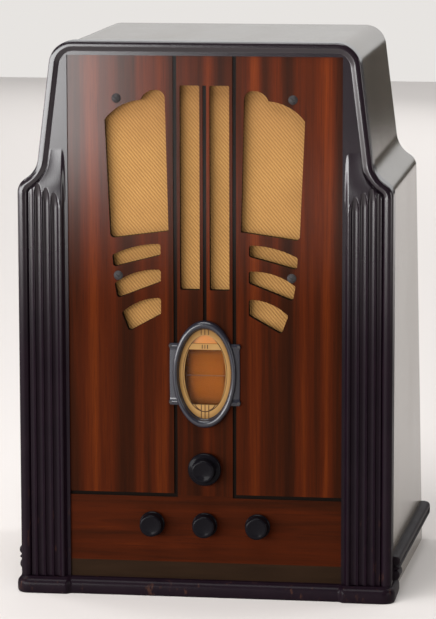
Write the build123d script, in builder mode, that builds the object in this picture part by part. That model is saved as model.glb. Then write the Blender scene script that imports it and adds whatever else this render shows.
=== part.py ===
"""Shouldered tombstone table radio of the mid 1930s, in millimetres.

+Z is up and the front faces -Y.  The origin is on the underside, at the middle of the cabinet.
"""
import os
from math import cos, radians, sin, tau

from build123d import *

os.makedirs("parts", exist_ok=True)

# ---------------------------------------------------------------- driving dimensions
HEIGHT = 546.0           # overall height of the cabinet
DEPTH = 284.0            # front frame to open back
LOWER_HALF = 184.0       # half width below the shoulders
SHOULDER = (165.0, 419.0)  # corner of the shoulder curve (x, z)
SHOULDER_FOOT_Z = 406.0  # height at which the side turns into the shoulder
TAPER = 0.125            # how far the upper sides lean in, per unit of height
FRAME_FRONT = -DEPTH / 2     # crest of the front mouldings
FRAME_BACK = FRAME_FRONT + 24
BACK = DEPTH / 2
STILE_FACE = FRAME_FRONT + 5
PANEL_FACE = FRAME_FRONT + 7
PANEL_BACK = PANEL_FACE + 8
PANEL_HALF = 134.5       # visible half width of the veneered panel
PANEL_TOP = 532.5
PANEL_FOOT = 33.0
REBATE = 5.5             # how far the panel edge runs behind the frame
WRAP_INSET = 2.5         # how far the wrap stands inside the front frame
WRAP_THICK = 9.0
SPLAY = 9.0              # how far each side spreads at the foot of the open back
PLINTH = 16.0            # height of the base moulding
SIDE_BEAD = (27.0, 41.0)  # bottom and top of the side mouldings
GROOVE_X = 29.1          # the two upright inlay grooves
GROOVE_WIDTH = 3.6
GROOVE_DEPTH = 1.6
CROSS_GROOVE_Z = 100.0
SPEAKER_Z = 400.0
DIAL_Z = 221.7           # centre of the oval dial
TUNE_Z = 127.5           # tuning spindle
CONTROL_Z = 71.5         # the three lower controls
CONTROL_X = 52.3
BUSH_GAP = 0.06          # running clearance, on the radius
SPINDLE_R = 3.0
FLOOR = 14.0             # top of the bottom board
CHASSIS_FOOT = 22.0
CHASSIS_TOP = 87.0
CHASSIS_HALF = 140.0
CHASSIS_FRONT = -80.0
CHASSIS_BACK = 110.0
SHEET = 1.6              # chassis steel
CORD_PLANE = -109.0      # plane in which the dial cord runs
CORD_R = 0.4
DRUM_R = 15.3            # centreline of the cord on its drum
IDLER_Z = 253.0
POINTER_TRAVEL = 24.0    # each way from the middle of the scale
SCALE_Z = 218.5


def at_depth(y):
    """Sketch plane facing the front at depth y: local x is X and local y is Z."""
    return Plane.XZ.offset(-y)


def turning_plane(x, z):
    """Plane through a front-to-back axis: local x runs forwards (-Y), local y is the radius."""
    return Plane(origin=(x, 0, z), x_dir=(0, -1, 0), z_dir=(0, 0, 1))


def upright_plane(x, y):
    """Plane through an upright axis: local x is the radius, local y is the height."""
    return Plane(origin=(x, y, 0), x_dir=(1, 0, 0), z_dir=(0, -1, 0))


def turned(x, z, *profile):
    """A solid turned about the front-to-back axis at (x, z), from (forwards, radius) points."""
    with BuildPart() as piece:
        with BuildSketch(turning_plane(x, z)):
            with BuildLine():
                Polyline(*profile, close=True)
            make_face()
        revolve(axis=Axis((x, 0, z), (0, -1, 0)))
    return piece


def rod_between(x, z, radius, back, front):
    """A plain rod from depth back to depth front."""
    return turned(x, z, (-back, 0), (-front, 0), (-front, radius), (-back, radius))


def finish(piece, name):
    """Labels a finished piece and writes it."""
    piece.part.label = name
    export_step(piece.part, f"parts/{name}.step")


def splay_at(z, y=BACK):
    """How far a side has spread outwards at height z and depth y."""
    return SPLAY * (SHOULDER_FOOT_Z - z) / SHOULDER_FOOT_Z * (y - FRAME_BACK) / (BACK - FRAME_BACK)


def outline(foot, inset=0.0, y=FRAME_BACK):
    """The cabinet's outline at depth y down to z = foot, set in by inset."""
    top_x = SHOULDER[0] - TAPER * (HEIGHT - SHOULDER[1])
    right = [(LOWER_HALF, SHOULDER_FOOT_Z), SHOULDER, (top_x, HEIGHT)]
    left = [(-x, z) for x, z in reversed(right)]
    low = foot - 60
    low_x = LOWER_HALF + splay_at(low, y)
    with BuildSketch() as shape:
        with BuildLine():
            FilletPolyline(
                (low_x, low), *right, *left, (-low_x, low),
                radius=[16, 26, 24, 24, 26, 16],
            )
            Line((-low_x, low), (low_x, low))
        make_face()
        if inset:
            offset(amount=-inset, kind=Kind.INTERSECTION, mode=Mode.REPLACE)
        with Locations((0, foot - 200)):
            Rectangle(1000, 400, mode=Mode.SUBTRACT)
    return shape.sketch


def mirrored(points):
    """The points with x reversed."""
    return [(-x, z) for x, z in points]


# ---------------------------------------------------------------- front frame
# Two solid uprights and a top rail.  A half-round bead with a small fillet beside it follows the
# outer edge, and a fluted pilaster fills each upright below the shoulder.
BEAD = 9.0
FILLET_BAND = 3.4
FLUTE_R = 3.7
FLUTE_PITCH = 8.2
FIRST_FLUTE_X = 147.6
FLUTE_COUNT = 4
FLUTE_TOP = 384.0
PILASTER_TOP = 394.0
PILASTER_RISE = 0.56     # the pilaster's top climbs towards the shoulder
PILASTER_HALF = (137.5, 175.5)

with BuildPart() as frame:
    with BuildSketch(at_depth(FRAME_BACK)):
        add(outline(PLINTH))
        with Locations((0, PANEL_TOP - 400)):
            Rectangle(2 * PANEL_HALF, 800, mode=Mode.SUBTRACT)
    extrude(amount=FRAME_BACK - STILE_FACE)
    with BuildSketch(at_depth(STILE_FACE)):
        add(outline(PLINTH, BEAD))
        add(outline(PLINTH - 10, BEAD + FILLET_BAND), mode=Mode.SUBTRACT)
    extrude(amount=1.2)
    for edge, crest in ((0.0, 2.8), (1.0, 1.0), (2.6, 0.0)):
        with BuildSketch(at_depth(STILE_FACE)):
            add(outline(PLINTH, edge))
            add(outline(PLINTH - 10, BEAD - edge), mode=Mode.SUBTRACT)
        extrude(amount=STILE_FACE - FRAME_FRONT - crest)
    # rebate for the panel
    with BuildSketch(at_depth(FRAME_BACK)):
        with Locations((0, (PANEL_TOP + REBATE) / 2)):
            Rectangle(2 * (PANEL_HALF + REBATE), PANEL_TOP + REBATE)
    extrude(amount=FRAME_BACK - PANEL_FACE, mode=Mode.SUBTRACT)


def pilaster(side):
    """The fluted pilaster of one upright; side is -1 or 1."""
    inner_x, outer_x = PILASTER_HALF
    rise = PILASTER_RISE * (outer_x - inner_x)
    with BuildPart() as block:
        with BuildSketch(at_depth(STILE_FACE)):
            with BuildLine():
                Polyline(
                    (side * inner_x, PLINTH), (side * outer_x, PLINTH),
                    (side * outer_x, PILASTER_TOP + rise), (side * inner_x, PILASTER_TOP),
                    close=True,
                )
            make_face()
        extrude(amount=STILE_FACE - FRAME_FRONT)
        top_edge = block.faces().sort_by(Axis.Y)[0].edges().sort_by(Axis.Z)[-1]
        chamfer(top_edge, length=4.4, length2=9)
        for index in range(FLUTE_COUNT):
            x = FIRST_FLUTE_X + index * FLUTE_PITCH
            top = FLUTE_TOP + PILASTER_RISE * (x - FIRST_FLUTE_X)
            with Locations((side * x, FRAME_FRONT - 0.6, PLINTH)):
                Cylinder(
                    FLUTE_R, top - PLINTH,
                    align=(Align.CENTER, Align.CENTER, Align.MIN), mode=Mode.SUBTRACT,
                )
            with Locations((side * x, FRAME_FRONT - 0.6, top)):
                Sphere(FLUTE_R, mode=Mode.SUBTRACT)
    return block


def stile(side):
    """One upright: its share of the frame with the pilaster on it."""
    fluted = pilaster(side)
    with BuildPart() as upright:
        add(frame.part)
        with Locations((side * (PANEL_HALF + 100), 0, HEIGHT / 2)):
            Box(200, 2 * DEPTH, 2 * HEIGHT, mode=Mode.INTERSECT)
        add(fluted.part)
    return upright


left_stile = stile(-1)
finish(left_stile, "left_stile")
right_stile = stile(1)
finish(right_stile, "right_stile")

with BuildPart() as top_rail:
    add(frame.part)
    Box(2 * PANEL_HALF, 2 * DEPTH, 4 * HEIGHT, mode=Mode.INTERSECT)
finish(top_rail, "top_rail")

with BuildPart() as bottom_rail:
    with BuildSketch(at_depth(FRAME_BACK)):
        with Locations((0, (PLINTH + PANEL_FOOT) / 2)):
            Rectangle(2 * PANEL_HALF, PANEL_FOOT - PLINTH)
    extrude(amount=FRAME_BACK - PANEL_FACE)
finish(bottom_rail, "bottom_rail")

# ---------------------------------------------------------------- veneered front panel
# Plywood with walnut veneer.  Two large grille openings, six short slots, two tall centre slots,
# black inlay grooves, the dial hole and four spindle holes are cut through or into its face.
OPENING_INNER = [(35.5, 361.8), (38.6, 490.0)]
OPENING_PEAK = (48.0, 499.2)
OPENING_NOTCH = (62.5, 489.3)
OPENING_OUTER = [(97.9, 470.0), (92.8, 354.0)]
SHORT_SLOTS = [
    # inner bottom, inner top, bulge of the upper edge, outer top, outer bottom
    ((43.4, 338.0), (43.4, 349.2), (69.0, 346.0), (91.0, 337.6), (90.2, 325.8)),
    ((43.2, 311.8), (43.2, 323.6), (68.0, 320.6), (89.0, 309.6), (86.2, 295.0)),
    ((43.2, 280.0), (43.2, 296.0), (64.0, 292.2), (82.0, 280.6), (75.0, 262.4)),
]
CENTRE_SLOT = (4.9, 24.2, 304.4, 503.8)  # inner x, outer x, bottom, top
SCREW_PLACES = [(86.2, 490.8), (85.2, 317.5)]
DIAL_HOLE = (27.0, 46.0)
EAR_HALF = 35.6          # the ears beside the dial's ring
EAR_Z = (193.5, 249.5)
PIN_PLACES = [(x, z) for x in (-33.6, 33.6) for z in EAR_Z]


def grille_opening(side):
    """One large grille opening."""
    bottom, top = ((side * x, z) for x, z in OPENING_INNER)
    outer_top, outer_bottom = ((side * x, z) for x, z in OPENING_OUTER)
    peak = (side * OPENING_PEAK[0], OPENING_PEAK[1])
    notch = (side * OPENING_NOTCH[0], OPENING_NOTCH[1])
    with BuildSketch() as shape:
        with BuildLine():
            Line(bottom, top)
            ThreePointArc(top, (side * 41.2, 496.8), peak)
            ThreePointArc(peak, (side * 57.0, 496.4), notch)
            ThreePointArc(notch, (side * 82.5, 483.4), outer_top)
            FilletPolyline(outer_top, outer_bottom, bottom, radius=4)
        make_face()
    return shape.sketch


def short_slot(side, inner_low, inner_top, bulge, outer_top, outer_low):
    """One short slanting slot with its upper edge bowed."""
    def place(point):
        return (side * point[0], point[1])

    with BuildSketch() as shape:
        with BuildLine():
            ThreePointArc(place(inner_top), place(bulge), place(outer_top))
            Line(place(outer_top), place(outer_low))
            Line(place(outer_low), place(inner_low))
            Line(place(inner_low), place(inner_top))
        make_face()
        fillet(shape.vertices(), radius=2.6)
    return shape.sketch


def sound_openings():
    """Every grille opening together."""
    inner_x, outer_x, low, high = CENTRE_SLOT
    with BuildSketch() as shape:
        for side in (-1, 1):
            add(grille_opening(side))
            for slot in SHORT_SLOTS:
                add(short_slot(side, *slot))
            with Locations((side * (inner_x + outer_x) / 2, (low + high) / 2)):
                RectangleRounded(outer_x - inner_x, high - low, 1.6)
    return shape.sketch


with BuildPart() as front_panel:
    with BuildSketch(at_depth(PANEL_BACK)):
        with Locations((0, (PANEL_FOOT + PANEL_TOP + REBATE) / 2)):
            Rectangle(2 * (PANEL_HALF + REBATE), PANEL_TOP + REBATE - PANEL_FOOT)
    extrude(amount=PANEL_BACK - PANEL_FACE)
    with BuildSketch(at_depth(PANEL_BACK)):
        add(sound_openings())
        with Locations((0, DIAL_Z)):
            Ellipse(*DIAL_HOLE)
        with Locations((0, TUNE_Z), (-CONTROL_X, CONTROL_Z), (0, CONTROL_Z), (CONTROL_X, CONTROL_Z)):
            Circle(5)
        with Locations(*SCREW_PLACES, *mirrored(SCREW_PLACES)):
            Circle(2.3)
        with Locations(*PIN_PLACES):
            Circle(0.7)
    extrude(amount=PANEL_BACK - PANEL_FACE, mode=Mode.SUBTRACT)
    with BuildSketch(at_depth(PANEL_FACE + GROOVE_DEPTH)):
        upright_length = PANEL_TOP + REBATE - CROSS_GROOVE_Z
        with Locations((-GROOVE_X, CROSS_GROOVE_Z + upright_length / 2),
                       (GROOVE_X, CROSS_GROOVE_Z + upright_length / 2)):
            Rectangle(GROOVE_WIDTH, upright_length)
        cross_length = PANEL_HALF + REBATE - GROOVE_X + GROOVE_WIDTH / 2
        cross_x = GROOVE_X - GROOVE_WIDTH / 2 + cross_length / 2
        with Locations((-cross_x, CROSS_GROOVE_Z), (cross_x, CROSS_GROOVE_Z)):
            Rectangle(cross_length, GROOVE_WIDTH)
        centre_low = DIAL_Z + DIAL_HOLE[1] - 4
        with Locations((0, (centre_low + CENTRE_SLOT[3]) / 2)):
            Rectangle(GROOVE_WIDTH, CENTRE_SLOT[3] - centre_low)
    extrude(amount=GROOVE_DEPTH, mode=Mode.SUBTRACT)
finish(front_panel, "front_panel")

# ---------------------------------------------------------------- cabinet wrap and base
def carcass(foot, inset):
    """A solid from the frame to the open back, its legs spreading towards the back's foot."""
    with BuildPart() as body:
        with BuildSketch(at_depth(FRAME_BACK)):
            add(outline(foot, inset))
        with BuildSketch(at_depth(BACK)):
            add(outline(foot, inset, BACK))
        loft(ruled=True)
    return body.part


with BuildPart() as cabinet_wrap:
    add(carcass(0, WRAP_INSET))
    add(carcass(-10, WRAP_INSET + WRAP_THICK), mode=Mode.SUBTRACT)
finish(cabinet_wrap, "cabinet_wrap")

WRAP_OUTER = LOWER_HALF - WRAP_INSET
INSIDE_HALF = WRAP_OUTER - WRAP_THICK
BOLT_PLACES = [(x, y) for x in (-122, 122) for y in (-58, 88)]

with BuildPart() as bottom_board:
    for z in (0, FLOOR):
        back_half = INSIDE_HALF + splay_at(z)
        with BuildSketch(Plane.XY.offset(z)):
            Polygon(
                (-INSIDE_HALF, FRAME_BACK), (INSIDE_HALF, FRAME_BACK), (back_half, BACK), (-back_half, BACK),
                align=None,
            )
    loft(ruled=True)
    add(cabinet_wrap.part, mode=Mode.SUBTRACT)
    with BuildSketch(Plane.XY):
        with Locations(*BOLT_PLACES):
            Circle(3.4)
    extrude(amount=FLOOR, mode=Mode.SUBTRACT)
    with BuildSketch(Plane.XY):
        with Locations(*BOLT_PLACES):
            Circle(8)
    extrude(amount=5, mode=Mode.SUBTRACT)
finish(bottom_board, "bottom_board")

MOULDING_OUT = 6.5       # how far the base stands out from the wrap
BREAK = 4.0              # the base steps forward under each pilaster
BASE_FRONT = FRAME_FRONT - 4
RETURN_BACK = FRAME_BACK + 24


def base_plan(set_back):
    """The base moulding seen from above, its front and side faces moved in by set_back."""
    out_x = WRAP_OUTER + MOULDING_OUT - set_back
    front_y = BASE_FRONT - BREAK + set_back
    with BuildSketch() as shape:
        for side in (-1, 1):
            with BuildLine():
                FilletPolyline(
                    (side * PANEL_HALF, FRAME_BACK), (side * PANEL_HALF, front_y),
                    (side * out_x, front_y), (side * out_x, RETURN_BACK),
                    (side * WRAP_OUTER, RETURN_BACK), (side * WRAP_OUTER, FRAME_BACK),
                    radius=[1.5, 13 - set_back, 0.5, 0.5],
                )
                Line((side * WRAP_OUTER, FRAME_BACK), (side * PANEL_HALF, FRAME_BACK))
            make_face()
        with Locations((0, (FRAME_BACK + BASE_FRONT + set_back) / 2)):
            Rectangle(2 * PANEL_HALF + 1, FRAME_BACK - BASE_FRONT - set_back)
    return shape.sketch


with BuildPart() as base_moulding:
    for low, high, set_back in ((0, 2, 1.5), (2, 9, 0), (9, 13, 1.2), (13, PLINTH, 3.6)):
        with BuildSketch(Plane.XY.offset(low)):
            add(base_plan(set_back))
        extrude(amount=high - low)
    add(carcass(0, WRAP_INSET), mode=Mode.SUBTRACT)
finish(base_moulding, "base_moulding")


def side_moulding(side):
    """The planted moulding low on one side: a torus over a cove and a thin lower fillet."""
    low, high = SIDE_BEAD
    foot = WRAP_OUTER

    def place(out, z, y):
        return (side * (foot + out + splay_at(z, y)), z)

    with BuildPart() as strip:
        for y in (FRAME_BACK, BACK):
            with BuildSketch(at_depth(y)):
                with BuildLine():
                    Polyline(
                        place(5.0, high, y), place(-0.5, high, y), place(-0.5, low, y),
                        place(8.6, low, y), place(8.6, low + 1.8, y),
                        place(6.6, low + 3.0, y), place(6.6, low + 5.6, y),
                    )
                    ThreePointArc(place(6.6, low + 5.6, y), place(9.0, low + 10.2, y), place(5.0, high, y))
                make_face()
        loft(ruled=True)
        # a short second bead under its front end
        with Locations((side * (foot + 4), (FRAME_BACK + RETURN_BACK) / 2, (PLINTH + low) / 2)):
            Box(8, RETURN_BACK - FRAME_BACK, low - PLINTH)
        rounds = strip.edges().filter_by(Axis.Y).filter_by(
            lambda e: abs(e.center().X) > foot + 7.9 and e.center().Z < low - 0.1
        )
        fillet(rounds, radius=3)
        add(carcass(0, WRAP_INSET), mode=Mode.SUBTRACT)
    return strip


finish(side_moulding(-1), "left_side_moulding")
finish(side_moulding(1), "right_side_moulding")

# ---------------------------------------------------------------- grille cloth and speaker board
CLOTH_THICK = 1.0
BOARD_FRONT = PANEL_BACK + CLOTH_THICK
BOARD_BACK = BOARD_FRONT + 12
BASKET_BOLTS = [
    (95 * cos(tau * (k + 0.5) / 4), SPEAKER_Z + 95 * sin(tau * (k + 0.5) / 4)) for k in range(4)
]


def board_shape(half_width, low, high):
    """A rectangle with a notch that clears the dial, and its four screw holes."""
    with BuildSketch() as shape:
        with Locations((0, (low + high) / 2)):
            Rectangle(2 * half_width, high - low)
        with Locations((0, (low + 272) / 2 - 5)):
            Rectangle(76, 272 - low + 10, mode=Mode.SUBTRACT)
        with Locations(*SCREW_PLACES, *mirrored(SCREW_PLACES)):
            Circle(2.3, mode=Mode.SUBTRACT)
    return shape.sketch


with BuildPart() as grille_cloth:
    with BuildSketch(at_depth(BOARD_FRONT)):
        add(board_shape(112, 255, 512))
    extrude(amount=CLOTH_THICK)
finish(grille_cloth, "grille_cloth")

with BuildPart() as speaker_board:
    with BuildSketch(at_depth(BOARD_BACK)):
        add(board_shape(122, 250, 522))
        with Locations((0, SPEAKER_Z)):
            Circle(85, mode=Mode.SUBTRACT)
        with Locations(*BASKET_BOLTS):
            Circle(2.2, mode=Mode.SUBTRACT)
    extrude(amount=BOARD_BACK - BOARD_FRONT)
finish(speaker_board, "speaker_board")

with BuildPart() as board_screws:
    for x, z in SCREW_PLACES + mirrored(SCREW_PLACES):
        with BuildSketch(turning_plane(x, z)) as profile:
            with BuildLine():
                Line((-BOARD_BACK - 8, 0), (-BOARD_BACK - 8, 2.2))
                Polyline((-BOARD_BACK - 8, 2.2), (-PANEL_FACE, 2.2), (-PANEL_FACE, 4.6))
                ThreePointArc(
                    (-PANEL_FACE, 4.6), (-PANEL_FACE + 1.5, 2.8), (-PANEL_FACE + 2.1, 0)
                )
                Line((-PANEL_FACE + 2.1, 0), (-BOARD_BACK - 8, 0))
            make_face()
        revolve(axis=Axis((x, 0, z), (0, -1, 0)))
        with Locations((x, PANEL_FACE - 2.1, z)):
            Box(10, 1.8, 1.1, rotation=(0, 30, 0), mode=Mode.SUBTRACT)
        with BuildSketch(at_depth(BOARD_BACK + 4)):
            with Locations((x, z)):
                RegularPolygon(4.6, 6)
        extrude(amount=4)
finish(board_screws, "board_screws")

# ---------------------------------------------------------------- loudspeaker
GASKET_BACK = BOARD_BACK + 2
RIM_BACK = GASKET_BACK + 1.6
BASKET_BACK = -60.0
POT_R = 36.0
POT_BACK = -8.0

with BuildPart() as cone_gasket:
    with BuildSketch(at_depth(GASKET_BACK)):
        with Locations((0, SPEAKER_Z)):
            Circle(99)
            Circle(85, mode=Mode.SUBTRACT)
        with Locations(*BASKET_BOLTS):
            Circle(2.2, mode=Mode.SUBTRACT)
    extrude(amount=GASKET_BACK - BOARD_BACK)
finish(cone_gasket, "cone_gasket")

with BuildPart() as speaker_basket:
    with BuildSketch(turning_plane(0, SPEAKER_Z)):
        with BuildLine():
            Polyline(
                (-GASKET_BACK, 99), (-RIM_BACK, 99), (-RIM_BACK, 90), (-BASKET_BACK - 1.6 + 4, 40),
                (-BASKET_BACK, 38), (-BASKET_BACK, 16), (-BASKET_BACK + 1.6, 16),
                (-BASKET_BACK + 1.6, 36.5), (-BASKET_BACK + 6, 42), (-GASKET_BACK, 88), close=True,
            )
        make_face()
    revolve(axis=Axis((0, 0, SPEAKER_Z), (0, -1, 0)))
    with BuildSketch(at_depth(BASKET_BACK + 5)):
        with Locations((0, SPEAKER_Z)):
            with PolarLocations(64, 8):
                Rectangle(30, 28)
    extrude(amount=46, mode=Mode.SUBTRACT)
    with BuildSketch(at_depth(RIM_BACK)):
        with Locations(*BASKET_BOLTS):
            Circle(2.2)
    extrude(amount=RIM_BACK - GASKET_BACK, mode=Mode.SUBTRACT)
finish(speaker_basket, "speaker_basket")

COIL_INNER = 12.7
CONE_EDGE = 83.4
CONE_FRONT = GASKET_BACK - 0.6

# the cone, and its voice coil glued into the apex
cone_shell = turned(
    0, SPEAKER_Z,
    (-CONE_FRONT, CONE_EDGE), (-CONE_FRONT - 1.0, CONE_EDGE), (-CONE_FRONT - 1.0, 79.6),
    (74.0, 13.9), (73.0, 12.0), (76.0, 0), (77.0, 0), (74.2, 12.2), (75.0, 13.6),
    (-CONE_FRONT, 79.2),
)
voice_coil = turned(
    0, SPEAKER_Z, (52.0, COIL_INNER), (73.7, COIL_INNER), (73.7, 13.7), (52.0, 13.7)
)
with BuildPart() as speaker_cone:
    add(cone_shell.part)
    add(voice_coil.part)
finish(speaker_cone, "speaker_cone")

with BuildPart() as field_magnet:
    with BuildSketch(turning_plane(0, SPEAKER_Z)):
        with BuildLine():
            Polyline(
                (-POT_BACK, 0), (-POT_BACK, POT_R - 4), (-POT_BACK + 4, POT_R), (-BASKET_BACK, POT_R),
                (-BASKET_BACK, 14.3), (48, 14.3), (48, 12.1), (-BASKET_BACK + 1.5, 12.1),
                (-BASKET_BACK + 1.5, 0), close=True,
            )
        make_face()
    revolve(axis=Axis((0, 0, SPEAKER_Z), (0, -1, 0)))
finish(field_magnet, "field_magnet")

with BuildPart() as output_transformer:
    with Locations((0, -34, SPEAKER_Z + 55)):
        Box(58, 34, 46)
    with Locations((0, -34, SPEAKER_Z + 55)):
        Box(38, 48, 34)
    fillet(output_transformer.edges().filter_by(Axis.Z), radius=2)
    with Locations((0, 0, SPEAKER_Z)):
        Cylinder(POT_R, 200, rotation=(90, 0, 0), mode=Mode.SUBTRACT)
finish(output_transformer, "output_transformer")

with BuildPart() as basket_bolts:
    for x, z in BASKET_BOLTS:
        with BuildSketch(at_depth(RIM_BACK + 6)):
            with Locations((x, z)):
                Circle(2.2)
        extrude(amount=RIM_BACK + 6 - BOARD_FRONT)
        with BuildSketch(at_depth(RIM_BACK + 3.2)):
            with Locations((x, z)):
                RegularPolygon(4.2, 6)
        extrude(amount=3.2)
finish(basket_bolts, "basket_bolts")

# ---------------------------------------------------------------- dial face
RING_OUTER = (31.5, 53.0)
RING_INNER = (25.6, 44.3)
MASK_BACK = PANEL_FACE + 2
GLASS_BACK = MASK_BACK + 1
WINDOW = (20.4, 38.3)    # the oval inside the mask
SCALE_SLOT = (191.0, 245.7)
LENS_SLOT = (251.6, 260.4)

with BuildPart() as dial_escutcheon:
    with BuildSketch(at_depth(PANEL_FACE)):
        with Locations((0, DIAL_Z)):
            Ellipse(*RING_OUTER)
        with Locations((0, sum(EAR_Z) / 2)):
            Rectangle(2 * EAR_HALF, EAR_Z[1] - EAR_Z[0] + 4)
        with Locations((0, DIAL_Z)):
            Ellipse(*RING_INNER, mode=Mode.SUBTRACT)
    extrude(amount=2.4)
    with BuildSketch(at_depth(PANEL_FACE)):
        with Locations((0, DIAL_Z)):
            Ellipse(*RING_OUTER)
            Ellipse(*RING_INNER, mode=Mode.SUBTRACT)
    extrude(amount=6.5)
    ring_top = dial_escutcheon.faces().filter_by(Axis.Y).sort_by(Axis.Y)[0]
    fillet(ring_top.edges(), radius=2.6)
    with BuildSketch(at_depth(PANEL_FACE)):
        with Locations(*PIN_PLACES):
            Circle(0.7)
    extrude(amount=2.4, mode=Mode.SUBTRACT)
finish(dial_escutcheon, "dial_escutcheon")

with BuildPart() as escutcheon_pins:
    with BuildSketch(at_depth(PANEL_FACE + 5)):
        with Locations(*PIN_PLACES):
            Circle(0.7)
    extrude(amount=5 + 2.4)
    with BuildSketch(at_depth(PANEL_FACE - 2.4)):
        with Locations(*PIN_PLACES):
            Circle(1.5)
    extrude(amount=0.9)
finish(escutcheon_pins, "escutcheon_pins")

def slot_in_oval(low, high):
    """The part of the mask's oval between two heights."""
    with BuildSketch() as part_oval:
        with Locations((0, DIAL_Z)):
            Ellipse(*WINDOW)
        with Locations((0, (low + high) / 2)):
            Rectangle(100, high - low, mode=Mode.INTERSECT)
    return part_oval.sketch


with BuildPart() as dial_mask:
    with BuildSketch(at_depth(MASK_BACK)):
        with Locations((0, DIAL_Z)):
            Ellipse(DIAL_HOLE[0] - 0.3, DIAL_HOLE[1] - 0.3)
        add(slot_in_oval(*SCALE_SLOT), mode=Mode.SUBTRACT)
        add(slot_in_oval(*LENS_SLOT), mode=Mode.SUBTRACT)
    extrude(amount=MASK_BACK - PANEL_FACE)
finish(dial_mask, "dial_mask")


def pane(low, high):
    """A pane behind the mask between two heights."""
    with BuildPart() as sheet:
        with BuildSketch(at_depth(GLASS_BACK)):
            with Locations((0, DIAL_Z)):
                Ellipse(DIAL_HOLE[0] - 1, DIAL_HOLE[1] - 1)
            with Locations((0, (low + high) / 2)):
                Rectangle(100, high - low, mode=Mode.INTERSECT)
        extrude(amount=GLASS_BACK - MASK_BACK)
    return sheet


finish(pane(187, 248.4), "dial_glass")
finish(pane(248.8, 263), "amber_lens")

# ---------------------------------------------------------------- scale, pointer and their bracket
SCALE_FRONT = -123.5
SCALE_BACK = -122.0
BRACKET = (-103.5, -102.0)
BLOCK_X = (16.0, 23.5)
ROD_X, ROD_Y, ROD_R = 20.0, -112.0, 1.2
SPACER_Z = (187.5, 249.5)
NEEDLE_FRONT = -126.0

with BuildPart() as scale_plate:
    with Locations((0, (SCALE_FRONT + SCALE_BACK) / 2, SCALE_Z)):
        Box(45, SCALE_BACK - SCALE_FRONT, 68)
finish(scale_plate, "scale_plate")

with BuildPart() as dial_bracket:
    with BuildSketch(at_depth(BRACKET[1])):
        with Locations((0, (CHASSIS_TOP + 268) / 2)):
            Rectangle(84, 268 - CHASSIS_TOP)
        with Locations((0, TUNE_Z)):
            Circle(6.2, mode=Mode.SUBTRACT)
        with Locations((0, 185)):
            RectangleRounded(34, 60, 6, mode=Mode.SUBTRACT)
    extrude(amount=BRACKET[1] - BRACKET[0])
    for side in (-1, 1):
        with Locations((side * 38, (BRACKET[0] - 60) / 2, CHASSIS_TOP + 0.75)):
            Box(8, -60 - BRACKET[0], 1.5)
    for side in (-1, 1):
        for z in SPACER_Z:
            with Locations((side * ROD_X, (SCALE_BACK + BRACKET[0]) / 2, z)):
                Box(4.4, BRACKET[0] - SCALE_BACK, 4.4)
    with BuildSketch(at_depth(BRACKET[0])):
        with Locations((0, IDLER_Z)):
            Circle(3)
    extrude(amount=BRACKET[0] - CORD_PLANE + 4)
finish(dial_bracket, "dial_bracket")

with BuildPart() as guide_rod:
    with Locations((ROD_X, ROD_Y, (SPACER_Z[0] + SPACER_Z[1]) / 2)):
        Cylinder(ROD_R, SPACER_Z[1] - SPACER_Z[0] - 4.4)
finish(guide_rod, "guide_rod")

with BuildPart() as scale_pointer:
    with Locations(((BLOCK_X[0] + BLOCK_X[1]) / 2, -111, SCALE_Z)):
        Box(BLOCK_X[1] - BLOCK_X[0], 8, 6)
    with Locations((ROD_X, ROD_Y, SCALE_Z)):
        Cylinder(ROD_R + BUSH_GAP, 10, mode=Mode.SUBTRACT)
    with Locations((BLOCK_X[1] + 0.6, (NEEDLE_FRONT - 107) / 2, SCALE_Z)):
        Box(1.2, -107 - NEEDLE_FRONT, 3)
    with Locations(((BLOCK_X[1] + 1.2 - 19) / 2, NEEDLE_FRONT + 0.35, SCALE_Z)):
        Box(BLOCK_X[1] + 1.2 + 19, 0.7, 0.8)
finish(scale_pointer, "scale_pointer")


def pulley(z, bore):
    """A grooved wheel in the cord's plane."""
    groove = DRUM_R - CORD_R - 0.3
    front, back = -CORD_PLANE + 2, -CORD_PLANE - 2
    return turned(
        0, z,
        (back, bore), (back, groove + 2.4), (back + 0.8, groove + 2.4), (-CORD_PLANE - 0.6, groove),
        (-CORD_PLANE + 0.6, groove), (front - 0.8, groove + 2.4), (front, groove + 2.4), (front, bore),
    )


finish(pulley(IDLER_Z, 3 + BUSH_GAP), "idler_pulley")

with BuildPart() as dial_cord:
    with BuildLine() as loop:
        Line((DRUM_R, CORD_PLANE, TUNE_Z), (DRUM_R, CORD_PLANE, IDLER_Z))
        ThreePointArc(
            (DRUM_R, CORD_PLANE, IDLER_Z), (0, CORD_PLANE, IDLER_Z + DRUM_R),
            (-DRUM_R, CORD_PLANE, IDLER_Z),
        )
        Line((-DRUM_R, CORD_PLANE, IDLER_Z), (-DRUM_R, CORD_PLANE, TUNE_Z))
        ThreePointArc(
            (-DRUM_R, CORD_PLANE, TUNE_Z), (0, CORD_PLANE, TUNE_Z - DRUM_R),
            (DRUM_R, CORD_PLANE, TUNE_Z),
        )
    with BuildSketch(Plane.XY.offset(TUNE_Z)):
        with Locations((DRUM_R, CORD_PLANE)):
            Circle(CORD_R)
    sweep(path=loop.wires()[0])
finish(dial_cord, "dial_cord")

LAMP_X, LAMP_Y = 33.0, -114.0
with BuildPart() as lamp_sockets:
    for side in (-1, 1):
        with Locations((side * LAMP_X, LAMP_Y, 214)):
            Cylinder(5.4, 16)
        with Locations((side * LAMP_X, (LAMP_Y + BRACKET[0]) / 2, 207)):
            Box(8, BRACKET[0] - LAMP_Y, 1.6)
finish(lamp_sockets, "lamp_sockets")

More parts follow.
